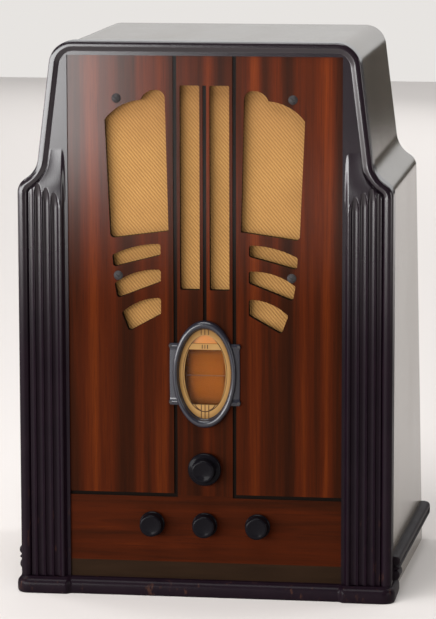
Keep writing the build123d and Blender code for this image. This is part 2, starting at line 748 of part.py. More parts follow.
with BuildPart() as dial_lamps:
    for side in (-1, 1):
        with BuildSketch(upright_plane(side * LAMP_X, LAMP_Y)):
            with BuildLine():
                Polyline(
                    (0, 222), (3.6, 222), (3.6, 225), (5.4, 228.5), (5.4, 232), (3.8, 235.2), (0, 236.5),
                    close=True,
                )
            make_face()
        revolve(axis=Axis((side * LAMP_X, LAMP_Y, 0), (0, 0, 1)))
finish(dial_lamps, "dial_lamps")

# ---------------------------------------------------------------- tuning drive and capacitor
# The knob's spindle runs inside the capacitor's hollow shaft end.  Three balls between the spindle
# and the fixed housing carry the hollow shaft round at a sixth of the knob's speed.
SLEEVE_R = 5.5
HOUSING = (BRACKET[1], -89.0)
BALL_Y = -96.0
BALL_R = 3.35
BALL_CIRCLE = SPINDLE_R + BALL_R + 0.1
CAP_FRAME = (-86.0, 8.0)
CAP_HALF = 32.0
CAP_LOW, CAP_HIGH = 92.0, 163.0
SHAFT_R = 4.0
PLATE_COUNT = 12
PLATE_PITCH = 6.4
PLATE_THICK = 1.0
FIRST_PLATE = -76.0
ROTOR_R = 24.0

with BuildPart() as rotor_shaft:
    with BuildSketch(turning_plane(0, TUNE_Z)):
        with BuildLine():
            Polyline(
                (-CAP_FRAME[1] - 6, 0), (-CAP_FRAME[1] - 6, SHAFT_R), (91, SHAFT_R), (91, 9.4),
                (100, 9.4), (100, SLEEVE_R), (115, SLEEVE_R), (115, SPINDLE_R + BUSH_GAP),
                (92, SPINDLE_R + BUSH_GAP), (92, 0), close=True,
            )
        make_face()
    revolve(axis=Axis((0, 0, TUNE_Z), (0, -1, 0)))
    for k in range(3):
        angle = tau * k / 3
        with Locations((BALL_CIRCLE * cos(angle), BALL_Y, TUNE_Z + BALL_CIRCLE * sin(angle))):
            Sphere(BALL_R + 0.3, mode=Mode.SUBTRACT)
        with Locations(((BALL_CIRCLE + 3) * cos(angle), BALL_Y, TUNE_Z + (BALL_CIRCLE + 3) * sin(angle))):
            Sphere(BALL_R + 0.3, mode=Mode.SUBTRACT)
finish(rotor_shaft, "rotor_shaft")

with BuildPart() as drive_balls:
    for k in range(3):
        angle = tau * k / 3
        with Locations((BALL_CIRCLE * cos(angle), BALL_Y, TUNE_Z + BALL_CIRCLE * sin(angle))):
            Sphere(BALL_R)
finish(drive_balls, "drive_balls")

drive_housing = turned(
    0, TUNE_Z,
    (-HOUSING[1], SHAFT_R + BUSH_GAP), (-HOUSING[1], 13.5), (-HOUSING[0], 13.5),
    (-HOUSING[0], SLEEVE_R + BUSH_GAP), (-HOUSING[0] - 1.5, SLEEVE_R + BUSH_GAP), (-HOUSING[0] - 1.5, 10.0),
    (-HOUSING[1] + 1.5, 10.0), (-HOUSING[1] + 1.5, SHAFT_R + BUSH_GAP),
)
finish(drive_housing, "drive_housing")
finish(pulley(TUNE_Z, SLEEVE_R), "cord_drum")

with BuildPart() as rotor_plates:
    with BuildSketch(at_depth(2)):
        with Locations((0, TUNE_Z)):
            Circle(6)
            Circle(SHAFT_R, mode=Mode.SUBTRACT)
    extrude(amount=82)
    for k in range(PLATE_COUNT):
        with BuildSketch(at_depth(FIRST_PLATE + PLATE_PITCH * k)):
            with Locations((0, TUNE_Z)):
                Circle(ROTOR_R)
                Circle(5.5, mode=Mode.SUBTRACT)
            with Locations((0, TUNE_Z - 50)):
                Rectangle(100, 100, mode=Mode.SUBTRACT)
        extrude(amount=PLATE_THICK)
finish(rotor_plates, "rotor_plates")

with BuildPart() as stator_plates:
    for k in range(PLATE_COUNT - 1):
        with BuildSketch(at_depth(FIRST_PLATE + PLATE_PITCH * (k + 0.5))):
            with Locations((-15, TUNE_Z)):
                Rectangle(28, 54)
            with Locations((0, TUNE_Z)):
                Circle(8, mode=Mode.SUBTRACT)
        extrude(amount=PLATE_THICK)
    for z in (TUNE_Z - 24.5, TUNE_Z + 24.5):
        with BuildSketch(at_depth(FIRST_PLATE + PLATE_PITCH * (PLATE_COUNT - 1.5))):
            with Locations((-27, z)):
                Circle(1.8)
        extrude(amount=PLATE_PITCH * (PLATE_COUNT - 2) + 2)
finish(stator_plates, "stator_plates")

with BuildPart() as capacitor_frame:
    with BuildSketch(at_depth(CAP_FRAME[1])):
        with Locations((0, (CAP_LOW + CAP_HIGH) / 2)):
            RectangleRounded(2 * CAP_HALF, CAP_HIGH - CAP_LOW, 4)
    extrude(amount=CAP_FRAME[1] - CAP_FRAME[0])
    with Locations((0, sum(CAP_FRAME) / 2, CAP_LOW + 2 + 60)):
        Box(3 * CAP_HALF, CAP_FRAME[1] - CAP_FRAME[0] - 4, 120, mode=Mode.SUBTRACT)
    with BuildSketch(at_depth(CAP_FRAME[1] + 1)):
        with Locations((0, TUNE_Z)):
            Circle(SHAFT_R + BUSH_GAP)
    extrude(amount=CAP_FRAME[1] - CAP_FRAME[0] + 2, mode=Mode.SUBTRACT)
    for x in (-24, 24):
        for y in (-76, -2):
            with Locations((x, y, (CHASSIS_TOP + CAP_LOW) / 2)):
                Cylinder(4, CAP_LOW - CHASSIS_TOP)
    with Locations((-27, (FIRST_PLATE - 1) / 2 - 1, (CAP_LOW + 2 + TUNE_Z - 27) / 2)):
        Box(5, 76, TUNE_Z - 27 - CAP_LOW - 2)
finish(capacitor_frame, "capacitor_frame")

# ---------------------------------------------------------------- knobs, spindles and controls
KNOB_BACK = PANEL_FACE - 2.5


def knob(x, z, radius, length, body_radius, skirt):
    """A moulded knob: a skirt, a narrower body with a rounded shoulder and a slightly hollow face."""
    back = -KNOB_BACK
    nose = back + length
    return turned(
        x, z,
        (back, SPINDLE_R), (back, radius - 0.9), (back + 0.8, radius), (back + skirt - 1, radius),
        (back + skirt, radius - 1.0), (back + skirt + 0.8, body_radius), (nose - 2.2, body_radius - 0.3),
        (nose - 0.6, body_radius - 1.1), (nose, body_radius - 2.6), (nose - 0.8, body_radius - 5.0),
        (nose - 0.8, 0), (nose - 4, 0), (nose - 4, SPINDLE_R),
    )


TUNING_KNOB_LENGTH = 16.0
SMALL_KNOB_LENGTH = 13.0
finish(knob(0, TUNE_Z, 16.3, TUNING_KNOB_LENGTH, 11.9, 5.0), "tuning_knob")
finish(
    rod_between(0, TUNE_Z, SPINDLE_R, -93.0, KNOB_BACK - TUNING_KNOB_LENGTH + 4), "tuning_spindle"
)

CONTROLS = {"volume": -CONTROL_X, "tone": 0.0, "band": CONTROL_X}
CONTROL_BACK = -60.0
for name, x in CONTROLS.items():
    finish(knob(x, CONTROL_Z, 12.4, SMALL_KNOB_LENGTH, 11.3, 2.7), f"{name}_knob")
    finish(
        rod_between(x, CONTROL_Z, SPINDLE_R, CONTROL_BACK - 4, KNOB_BACK - SMALL_KNOB_LENGTH + 4),
        f"{name}_shaft",
    )


def control_body(x, can_radius, can_depth):
    """A round control behind the chassis apron, with its threaded bushing and nut."""
    bore = SPINDLE_R + BUSH_GAP
    apron_back = -CHASSIS_FRONT - SHEET
    return turned(
        x, CONTROL_Z,
        (apron_back - can_depth, 0), (apron_back - can_depth, can_radius), (apron_back, can_radius),
        (apron_back, 4.8), (-CHASSIS_FRONT, 4.8), (-CHASSIS_FRONT, 7.2), (-CHASSIS_FRONT + 2.6, 7.2),
        (-CHASSIS_FRONT + 2.6, 4.8), (-CHASSIS_FRONT + 7, 4.8), (-CHASSIS_FRONT + 7, bore),
        (-CONTROL_BACK + 3.5, bore), (-CONTROL_BACK + 3.5, 0),
    )


finish(control_body(CONTROLS["volume"], 13.2, 20), "volume_control")
finish(control_body(CONTROLS["tone"], 13.2, 18), "tone_control")
finish(control_body(CONTROLS["band"], 13.2, 30), "band_switch")

# ---------------------------------------------------------------- chassis and what stands on it
TUBES = [(60, -8), (104, 20), (-20, 78), (28, 78), (76, 78), (122, 78), (-112, -58)]
IF_CANS = [(62, -52), (104, -52), (60, 35)]
FILTER_CANS = [(-116, -10), (-72, -10)]
TRANSFORMER = (-94.0, 62.0)
GROMMET_X = -60.0

with BuildPart() as chassis_pan:
    chassis_mid = (CHASSIS_FRONT + CHASSIS_BACK) / 2
    with Locations((0, chassis_mid, (CHASSIS_FOOT + CHASSIS_TOP) / 2)):
        Box(2 * CHASSIS_HALF, CHASSIS_BACK - CHASSIS_FRONT, CHASSIS_TOP - CHASSIS_FOOT)
    with Locations((0, chassis_mid, (CHASSIS_FOOT + CHASSIS_TOP) / 2 - SHEET)):
        Box(
            2 * (CHASSIS_HALF - SHEET), CHASSIS_BACK - CHASSIS_FRONT - 2 * SHEET,
            CHASSIS_TOP - CHASSIS_FOOT, mode=Mode.SUBTRACT,
        )
    for x, y in BOLT_PLACES:
        with Locations((x + (9 if x > 0 else -9), y, CHASSIS_FOOT + SHEET / 2)):
            Box(34, 26, SHEET)
    with Locations((0, 0, 0)):
        with BuildSketch(Plane.XY):
            with Locations(*BOLT_PLACES):
                Circle(3.2)
        extrude(amount=40, mode=Mode.SUBTRACT)
    with BuildSketch(at_depth(CHASSIS_FRONT + 2)):
        with Locations(*[(x, CONTROL_Z) for x in CONTROLS.values()]):
            Circle(4.9)
    extrude(amount=4, mode=Mode.SUBTRACT)
    with BuildSketch(Plane.XY.offset(CHASSIS_TOP - 3)):
        with Locations(*TUBES):
            Circle(13)
    extrude(amount=6, mode=Mode.SUBTRACT)
    with BuildSketch(at_depth(CHASSIS_BACK + 1)):
        with Locations((GROMMET_X, 50)):
            Circle(7)
    extrude(amount=3, mode=Mode.SUBTRACT)
finish(chassis_pan, "chassis_pan")

with BuildPart() as chassis_bolts:
    for x, y in BOLT_PLACES:
        with Locations((x, y, 3.5)):
            Cylinder(6, 3)
        with Locations((x, y, 17)):
            Cylinder(3, 26)
finish(chassis_bolts, "chassis_bolts")

with BuildPart() as rubber_feet:
    for x, y in BOLT_PLACES:
        with Locations((x, y, (FLOOR + CHASSIS_FOOT) / 2)):
            Cylinder(9, CHASSIS_FOOT - FLOOR)
            Cylinder(3, CHASSIS_FOOT, mode=Mode.SUBTRACT)
finish(rubber_feet, "rubber_feet")

with BuildPart() as cord_grommet:
    with BuildSketch(turning_plane(GROMMET_X, 50)):
        with BuildLine():
            rear, front = -CHASSIS_BACK, -CHASSIS_BACK + SHEET
            Polyline(
                (rear - 2, 4), (rear - 2, 9), (rear, 9), (rear, 7), (front, 7), (front, 9),
                (front + 2, 9), (front + 2, 4), close=True,
            )
        make_face()
    revolve(axis=Axis((GROMMET_X, 0, 50), (0, -1, 0)))
finish(cord_grommet, "cord_grommet")

with BuildPart() as power_transformer:
    with Locations((*TRANSFORMER, CHASSIS_TOP + 38)):
        Box(84, 70, 24)
    with Locations((*TRANSFORMER, CHASSIS_TOP + 38)):
        Box(66, 52, 76)
    fillet(power_transformer.edges().filter_by(Axis.Z).filter_by(
        lambda e: e.length > 20 and abs(e.center().X - TRANSFORMER[0]) < 40), radius=8)
    fillet(power_transformer.faces().sort_by(Axis.Z)[-1].edges(), radius=6)
    for x in (-36, 36):
        for y in (-29, 29):
            with Locations((TRANSFORMER[0] + x, TRANSFORMER[1] + y, CHASSIS_TOP + 27)):
                Cylinder(2.5, 54)
finish(power_transformer, "power_transformer")

with BuildPart() as filter_capacitors:
    for x, y in FILTER_CANS:
        with Locations((x, y, CHASSIS_TOP + 38)):
            Cylinder(17, 76)
        with Locations((x, y, CHASSIS_TOP + 3)):
            Cylinder(19, 6)
    fillet(filter_capacitors.faces().filter_by(Axis.Z).sort_by(Axis.Z)[-2:].edges(), radius=2.5)
finish(filter_capacitors, "filter_capacitors")

with BuildPart() as if_cans:
    for x, y in IF_CANS:
        with Locations((x, y, CHASSIS_TOP + 42)):
            Box(34, 34, 84)
    fillet(if_cans.edges().filter_by(Axis.Z), radius=5)
    for x, y in IF_CANS:
        with Locations((x - 7, y, CHASSIS_TOP + 84), (x + 7, y, CHASSIS_TOP + 84)):
            Cylinder(2.5, 8, mode=Mode.SUBTRACT)
finish(if_cans, "if_cans")

SOCKET = 3.0
BASE_TOP = CHASSIS_TOP + SOCKET + 30
with BuildPart() as tube_sockets:
    for x, y in TUBES:
        with Locations((x, y, CHASSIS_TOP + SOCKET / 2)):
            Cylinder(19, SOCKET)
        with Locations((x, y, CHASSIS_TOP - 5)):
            Cylinder(12.8, 10)
finish(tube_sockets, "tube_sockets")

with BuildPart() as tube_bases:
    for x, y in TUBES:
        with Locations((x, y, CHASSIS_TOP + SOCKET + 15)):
            Cylinder(16.5, 30)
finish(tube_bases, "tube_bases")

# half profile of the stepped bulb: radius, height above the base
BULB = [
    (0, 0), (15.0, 0), (15.4, 4), (18.6, 9), (20.8, 16), (21.0, 23), (19.8, 31), (17.0, 39),
    (14.6, 46), (14.0, 50), (13.6, 60), (12.4, 64), (9.6, 67.5), (5.4, 69.6), (0, 70.2),
]
with BuildPart() as tube_envelopes:
    for x, y in TUBES:
        with BuildSketch(upright_plane(x, y)):
            with BuildLine():
                Polyline(*[(r, BASE_TOP + rise) for r, rise in BULB], close=True)
            make_face()
        revolve(axis=Axis((x, y, 0), (0, 0, 1)))
finish(tube_envelopes, "tube_envelopes")
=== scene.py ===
"""A tall shouldered table radio of the mid 1930s: black lacquered frame, striped walnut front,
gold grille cloth, oval dial, four black knobs, and a tube chassis behind them."""
import math

import bpy
import numpy as np
from mathutils import Matrix, Vector


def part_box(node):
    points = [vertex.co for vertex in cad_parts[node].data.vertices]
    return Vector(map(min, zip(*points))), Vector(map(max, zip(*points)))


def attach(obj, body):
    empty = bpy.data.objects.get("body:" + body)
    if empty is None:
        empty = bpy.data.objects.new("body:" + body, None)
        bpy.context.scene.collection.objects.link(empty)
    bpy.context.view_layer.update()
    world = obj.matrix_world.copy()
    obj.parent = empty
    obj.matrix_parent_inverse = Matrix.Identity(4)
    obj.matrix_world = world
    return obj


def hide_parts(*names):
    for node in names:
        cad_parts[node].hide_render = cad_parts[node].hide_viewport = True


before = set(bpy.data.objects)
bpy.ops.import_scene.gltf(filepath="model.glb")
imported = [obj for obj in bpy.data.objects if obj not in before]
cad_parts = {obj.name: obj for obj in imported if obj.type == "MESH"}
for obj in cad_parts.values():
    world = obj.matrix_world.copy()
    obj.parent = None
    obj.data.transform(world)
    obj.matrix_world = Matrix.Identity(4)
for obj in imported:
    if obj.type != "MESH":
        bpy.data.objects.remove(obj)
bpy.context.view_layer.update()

# ------------------------------------------------------------------ the view
# A long lens a little above the radio and to its right, held almost level.
camera_data = bpy.data.cameras.new("camera")
camera_data.lens = 194.5
camera_data.sensor_width = 36.0
camera_data.clip_end = 60.0
camera = bpy.data.objects.new("camera", camera_data)
bpy.context.collection.objects.link(camera)
camera_place = Vector((0.47766, -3.31421, 0.79762))
camera_target = Vector((0.01403, -0.142, 0.28687))
camera_roll = Matrix.Rotation(math.radians(-0.12), 4, "Z")
facing = (camera_target - camera_place).to_track_quat("-Z", "Y").to_matrix().to_4x4()
camera.matrix_world = Matrix.Translation(camera_place) @ facing @ camera_roll
bpy.context.scene.camera = camera
bpy.context.scene.view_settings.view_transform = "Standard"


# ------------------------------------------------------------------ the room
# A pale paper floor, open all round so that the back and the sides can be seen as well, under
# soft boxes hung out of sight.
class Value:
    """A number or colour on its way through a material; arithmetic on it adds Math nodes."""

    def __init__(self, finish, socket):
        self.finish = finish
        self.socket = socket

    def sum_with(self, operation, *terms):
        return self.finish.node("Math", {"operation": operation}, dict(enumerate(terms)))

    def __add__(self, other):
        return self.sum_with("ADD", self, other)

    def __radd__(self, other):
        return self.sum_with("ADD", other, self)

    def __sub__(self, other):
        return self.sum_with("SUBTRACT", self, other)

    def __rsub__(self, other):
        return self.sum_with("SUBTRACT", other, self)

    def __mul__(self, other):
        return self.sum_with("MULTIPLY", self, other)

    def __rmul__(self, other):
        return self.sum_with("MULTIPLY", other, self)

    def __truediv__(self, other):
        return self.sum_with("DIVIDE", self, other)

    def __pow__(self, other):
        return self.sum_with("POWER", self, other)

    def __abs__(self):
        return self.sum_with("ABSOLUTE", self)

    def above(self, level):
        return self.sum_with("GREATER_THAN", self, level)

    def below(self, level):
        return self.sum_with("LESS_THAN", self, level)

    def sine(self):
        return self.sum_with("SINE", self)

    def low(self, other):
        return self.sum_with("MINIMUM", self, other)

    def high(self, other):
        return self.sum_with("MAXIMUM", self, other)

    def ramp(self, start, end):
        """0 before start and 1 after end, rising smoothly between them."""
        settings = {"interpolation_type": "SMOOTHSTEP"}
        return self.finish.node("MapRange", settings, {0: self, 1: start, 2: end, 3: 0.0, 4: 1.0})


class Finish:
    """One surface finish: a material with its Principled shader, filled in by expressions."""

    def __init__(self, name, **sockets):
        self.material = bpy.data.materials.new(name)
        self.material.use_nodes = True
        self.nodes = self.material.node_tree.nodes
        self.links = self.material.node_tree.links
        self.shader = self.nodes["Principled BSDF"]
        self.set(**sockets)

    def node(self, kind, settings=None, sockets=None, out=0):
        """Adds a node: its settings come first, then the values or links of its sockets."""
        added = self.nodes.new("ShaderNode" + kind)
        for key, value in (settings or {}).items():
            if key == "stops":
                ramp = added.color_ramp
                while len(ramp.elements) < len(value):
                    ramp.elements.new(0.5)
                for element, (place, colour) in zip(ramp.elements, value):
                    element.position = place
                    element.color = (*colour, 1.0)
            else:
                setattr(added, key, value)
        for key, value in (sockets or {}).items():
            self.plug(added.inputs[key], value)
        return Value(self, added.outputs[out])

    def plug(self, socket, value):
        if isinstance(value, Value):
            self.links.new(value.socket, socket)
        elif isinstance(value, tuple) and len(value) == 3 and socket.type == "RGBA":
            socket.default_value = (*value, 1.0)
        else:
            socket.default_value = value

    def set(self, **sockets):
        """Fills the shader's own sockets: base_color is Base Color, and so on."""
        for key, value in sockets.items():
            self.plug(self.shader.inputs[key.replace("_", " ").title().replace("Ior", "IOR")], value)

    def place(self):
        """The point on the piece, and its three coordinates in metres."""
        point = self.node("TexCoord", out="Object")
        parts = [self.node("SeparateXYZ", None, {0: point}, out=axis) for axis in "XYZ"]
        return point, *parts

    def stretched(self, point, scale, turn=(0.0, 0.0, 0.0)):
        """The point with each axis scaled, for grain that runs one way."""
        return self.node("Mapping", None, {"Vector": point, "Rotation": turn, "Scale": scale})

    def noise(self, point, scale, detail=4.0, roughness=0.55, distortion=0.0):
        sockets = {"Vector": point, "Scale": scale, "Detail": detail, "Roughness": roughness,
                   "Distortion": distortion}
        return self.node("TexNoise", None, sockets)

    def mix(self, factor, first, second):
        """A colour part way from the first to the second."""
        return self.node("Mix", {"data_type": "RGBA"}, {0: factor, 6: first, 7: second}, out=2)

    def colours(self, value, *stops):
        """A colour read from a ramp of stops at a value between 0 and 1."""
        return self.node("ValToRGB", {"stops": stops}, {0: value})

    def bump(self, height, depth, strength=1.0):
        """Raises the surface by height times depth, in metres."""
        sockets = {"Height": height, "Distance": depth, "Strength": strength}
        self.set(normal=self.node("Bump", None, sockets))


def surface(name, points, faces, finish, smooth=35.0):
    """A mesh from an (n, 3) array of points and an (m, 4) array of corner numbers.
    Its faces are turned outwards where the signed volume, one sixth of the sum of each
    triangle's first corner dotted with the cross product of the others, comes out negative."""
    corners = points[faces]
    fan = [(corners[:, 0] * np.cross(corners[:, k], corners[:, k + 1])).sum() for k in (1, 2)]
    if sum(fan) < 0:
        faces = faces[:, ::-1]
    mesh = bpy.data.meshes.new(name)
    mesh.vertices.add(len(points))
    mesh.vertices.foreach_set("co", np.asarray(points, np.float32).ravel())
    mesh.loops.add(faces.size)
    mesh.loops.foreach_set("vertex_index", np.ascontiguousarray(faces, np.int32).ravel())
    mesh.polygons.add(len(faces))
    mesh.polygons.foreach_set("loop_start", np.arange(0, faces.size, 4, dtype=np.int32))
    mesh.update(calc_edges=True)
    mesh.validate()
    mesh.polygons.foreach_set("use_smooth", np.ones(len(mesh.polygons), bool))
    mesh.set_sharp_from_angle(angle=math.radians(smooth))
    mesh.materials.append(finish.material)
    piece = bpy.data.objects.new(name, mesh)
    bpy.context.collection.objects.link(piece)
    return piece


def grid_faces(rows, columns, wrap_rows=False, wrap_columns=False):
    """Corner numbers of the four-sided faces of a grid stored row by row."""
    down = np.arange(rows if wrap_rows else rows - 1)
    across = np.arange(columns if wrap_columns else columns - 1)
    row, column = (a.ravel() for a in np.meshgrid(down, across, indexing="ij"))
    next_row, next_column = (row + 1) % rows, (column + 1) % columns
    return np.stack([row * columns + column, row * columns + next_column,
                     next_row * columns + next_column, next_row * columns + column], axis=1)


paper = Finish("pale_paper", base_color=(0.74, 0.70, 0.675), roughness=0.9)
floor_x, floor_y = np.meshgrid(np.linspace(-4.5, 4.5, 2), np.linspace(-3.5, 5.5, 2), indexing="ij")
floor_places = np.stack([floor_x, floor_y, np.zeros_like(floor_x)], -1).reshape(-1, 3)
floor = surface("paper_floor", floor_places, grid_faces(2, 2), paper)

world = bpy.data.worlds.new("studio")
bpy.context.scene.world = world
world.use_nodes = True
backdrop = world.node_tree.nodes["Background"]
backdrop.inputs[0].default_value = (1.0, 0.97, 0.94, 1.0)
seen = world.node_tree.nodes.new("ShaderNodeLightPath")
strength = world.node_tree.nodes.new("ShaderNodeMapRange")
ROOM_DARK, ROOM_SEEN = 0.05, 0.80   # what the open room adds to the radio, and how it looks itself
strength.inputs[3].default_value, strength.inputs[4].default_value = ROOM_DARK, ROOM_SEEN
world.node_tree.links.new(seen.outputs["Is Camera Ray"], strength.inputs[0])
world.node_tree.links.new(strength.outputs[0], backdrop.inputs[1])


def soft_light(name, place, target, width, height, power, colour=(1.0, 1.0, 1.0)):
    """A soft box at a place, turned to face its target."""
    data = bpy.data.lights.new(name, "AREA")
    data.shape = "RECTANGLE"
    data.size, data.size_y, data.energy, data.color = width, height, power, colour
    lamp = bpy.data.objects.new(name, data)
    lamp.visible_camera = False
    bpy.context.collection.objects.link(lamp)
    turn = (Vector(target) - Vector(place)).to_track_quat("-Z", "Y").to_matrix().to_4x4()
    lamp.matrix_world = Matrix.Translation(place) @ turn


soft_light("window_box", (-1.85, -2.7, 0.60), (0, 0, 0.35), 2.8, 1.2, 122)
soft_light("top_box", (-0.3, -1.2, 2.6), (0, 0.1, 0.1), 1.8, 1.4, 52)
soft_light("left_box", (-2.9, -0.9, 0.7), (0, 0, 0.45), 1.9, 1.3, 44, (1.0, 0.96, 1.0))
soft_light("right_box", (2.3, -1.15, 0.62), (0, 0, 0.3), 1.4, 1.2, 15, (1.0, 0.98, 0.95))
soft_light("back_box", (1.5, 3.7, 1.75), (0, 0, 0.4), 6.4, 2.7, 42)
soft_light("far_box", (0, 4.6, 3.3), (0, 4.9, 0), 6.5, 2.2, 105)
for name, x, power in (("floor_box_left", -2.2, 42), ("floor_box_right", 2.2, 36)):
    soft_light(name, (x, 1.0, 2.9), (x * 0.4, 2.4, 0), 1.6, 1.2, power)

# ------------------------------------------------------------------ front frame
# Two solid uprights and a top rail, lacquered black and polished.  A half-round bead runs round
# the outside, and each upright swells below the shoulder into a reeded pilaster.
MM = 0.001
FACE = -137.0            # flat face of the frame
BACK = -118.0            # back of the frame
OPENING_HALF = 134.5     # the panel's opening, from the middle to each upright
OPENING_TOP = 532.5
SHOULDER = 396.0         # where the outline turns in, above the pilasters
RIDGES = 143.1           # first crest of the pilaster
PITCH = 8.15             # from one crest to the next
FLUTES = 4
RISE = 4.2               # how far the bead and the pilaster stand out


def rounded_outline(corners, radii, step):
    """Points about one step apart along a polyline whose inner corners are rounded.
    Each corner's arc starts a length of radius times tan(half the turn) before the corner;
    its points are the centre plus the radius turned evenly from one tangent to the other."""
    runs = [np.array([corners[0]])]
    for before, corner, after, radius in zip(corners, corners[1:], corners[2:], radii):
        before, corner, after = (np.array(p, float) for p in (before, corner, after))
        into = (corner - before) / np.linalg.norm(corner - before)
        away = (after - corner) / np.linalg.norm(after - corner)
        turn = math.atan2(into[0] * away[1] - into[1] * away[0], into @ away)
        reach = radius * math.tan(abs(turn) / 2)
        start = corner - into * reach
        side = math.copysign(1.0, turn) * np.array([-into[1], into[0]])
        centre = start + side * radius
        angles = np.linspace(0, turn, max(6, int(abs(turn) * radius / step) + 2))
        spoke = start - centre
        arc = centre + np.stack([spoke[0] * np.cos(angles) - spoke[1] * np.sin(angles),
                                 spoke[0] * np.sin(angles) + spoke[1] * np.cos(angles)], -1)
        run = np.linspace(runs[-1][-1], arc[0], max(2, int(np.linalg.norm(arc[0] - runs[-1][-1]) / step) + 1))
        runs += [run[1:], arc[1:]]
    rest = np.linalg.norm(corners[-1] - runs[-1][-1])
    last = np.linspace(runs[-1][-1], corners[-1], max(2, int(rest / step) + 1))
    return np.concatenate(runs + [last[1:]])


half_outline = [(184, 16), (184, 406), (165, 419), (149.1, 546)]
outline_corners = half_outline + [(-x, z) for x, z in reversed(half_outline)]
CORNER_RADII = [16, 26, 24, 24, 26, 16]
OUTLINE = rounded_outline(outline_corners, CORNER_RADII, 1.0)


def edge_distance(x, z, row_line):
    """Distance of each grid point to the outline: the least over the outline's points that
    lie within sixty places of the point's own row."""
    nearest = np.full(x.shape, 1e9)
    for offset in range(-60, 61, 2):
        place = row_line[np.clip(np.arange(len(x)) + offset, 0, len(x) - 1)]
        nearest = np.minimum(nearest, np.hypot(x - place[:, :1], z - place[:, 1:]))
    return nearest


def smooth_step(value, start, end):
    """0 before start, 1 after end, and 3t^2 - 2t^3 between."""
    t = np.clip((value - start) / (end - start), 0, 1)
    return t * t * (3 - 2 * t)


def frame_relief(x, z, edge):
    """How far the moulding stands in front of the flat face, in millimetres.
    Outer bead: half an ellipse ten wide, with a narrow groove inside it; above the shoulder
    it sinks and eases into the face on a cosine.  Pilaster: a block as high as the bead that
    fades out upwards on a slanting line, less four hollow flutes that are circular across
    and end in a rounded scoop, less a groove and plus a thin roll beside the panel."""
    side = np.abs(x)
    upper = smooth_step(z, SHOULDER, 432)
    arch = np.sqrt(np.clip(1 - ((edge - 5) / 5) ** 2, 0, 1))
    slope = 0.5 + 0.5 * np.cos(math.pi * np.clip((edge - 5) / 5, 0, 1))
    bead = (RISE - 2.5 * upper) * np.where(edge > 5, arch + (slope - arch) * upper, arch)
    groove = (0.45 * upper - 0.9) * np.clip(1 - np.abs(edge - 10.4) / 0.9, 0, 1)
    shallow = -0.5 * smooth_step(edge, 30, 11) * smooth_step(z, SHOULDER, 412)
    top = 393 + 0.56 * (side - 143)
    swell = RISE * smooth_step(z, top + 58, top - 10)
    swell *= smooth_step(side, 136.8, 140.6) * smooth_step(edge, 9.4, 11)
    flute = np.clip(np.floor((side - RIDGES) / PITCH), 0, FLUTES - 1)
    centre = RIDGES + (flute + 0.5) * PITCH
    flute_top = 384.5 + 0.56 * (centre - 147)
    across = (side - centre) / (PITCH / 2 - 0.35)
    above = np.clip(z - flute_top, 0, None) / 13.0
    hollow = 2.6 * np.clip(1 - across ** 2 - above ** 2, 0, 1) ** 0.6
    hollow *= (side > RIDGES) & (side < RIDGES + FLUTES * PITCH)
    inner = -1.8 * np.clip(1 - np.abs(side - 137.2) / 0.9, 0, 1) * smooth_step(z, top + 4, top - 6)
    roll = np.sqrt(np.clip(1 - ((side - 141.3) / 1.9) ** 2, 0, 1)) * smooth_step(z, top, top - 8)
    return np.maximum(bead, groove + shallow + swell - hollow + inner + roll) * (edge >= 0)


def frame_member(name, first, last):
    """One member of the frame: rows follow the outline from first to last; each row runs from
    the panel opening, along the face to the outline, and returns across the back.  The points
    crowd towards the outline on a sine, where the bead is steepest."""
    line = OUTLINE[first:last]
    inner = np.stack([np.clip(line[:, 0], -OPENING_HALF, OPENING_HALF),
                      np.minimum(line[:, 1], OPENING_TOP)], -1)
    crowded = 0.80 + 0.2 * np.sin(np.linspace(0, math.pi / 2, 36))
    across = np.concatenate([np.linspace(0, 0.80, 105), crowded[1:]])
    x = inner[:, :1] + (line[:, :1] - inner[:, :1]) * across
    z = inner[:, 1:] + (line[:, 1:] - inner[:, 1:]) * across
    y = FACE - frame_relief(x, z, edge_distance(x, z, line))
    x = np.concatenate([x[:, :1], x, x[:, -1:]], 1)
    z = np.concatenate([z[:, :1], z, z[:, -1:]], 1)
    y = np.concatenate([np.full((len(line), 1), BACK), y, np.full((len(line), 1), BACK)], 1)
    rows, columns = x.shape
    points = np.stack([x, y, z], -1).reshape(-1, 3) * MM
    faces = [grid_faces(rows, columns, wrap_columns=True)]
    half = columns // 2
    ends = np.arange(half - 1)
    for base, flip in ((0, False), ((rows - 1) * columns, True)):
        cap = base + np.stack([ends, ends + 1, columns - 2 - ends, columns - 1 - ends], -1)
        faces.append(cap if flip else cap[:, ::-1])
    return surface(name, points, np.concatenate(faces), lacquer, 40)


lacquer = Finish("black_lacquer", specular_ior_level=0.05, coat_roughness=0.17, coat_ior=1.55)
point, along_x, along_y, along_z = lacquer.place()
mottling = lacquer.noise(point, 38, 5)
scuffs = lacquer.noise(lacquer.stretched(point, (1.0, 1.0, 0.35)), 160, 3, 0.7)
worn_low = along_z.ramp(0.15, 0.01) * scuffs.ramp(0.60, 0.74)
black = lacquer.mix(mottling, (0.0030, 0.0010, 0.0030), (0.009, 0.0036, 0.0070))
lacquer.set(base_color=lacquer.mix(worn_low * 0.6, black, (0.055, 0.022, 0.013)),
            roughness=0.44 + 0.14 * mottling + 0.2 * worn_low,
            coat_weight=0.06 + 0.94 * along_z.ramp(0.22, 0.46))
lacquer.bump(lacquer.noise(point, 55, 3), 0.0006, 0.25)

count = len(OUTLINE)
right_end = int(np.argmax((OUTLINE[:, 1] > 540) & (OUTLINE[:, 0] <= OPENING_HALF)))
for name, first, last in (("right_stile", 0, right_end + 1), ("top_rail", right_end, count - right_end),
                          ("left_stile", count - right_end - 1, count)):
    member = frame_member(name + "_moulded", first, last)
    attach(member, "cabinet")
    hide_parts(name)


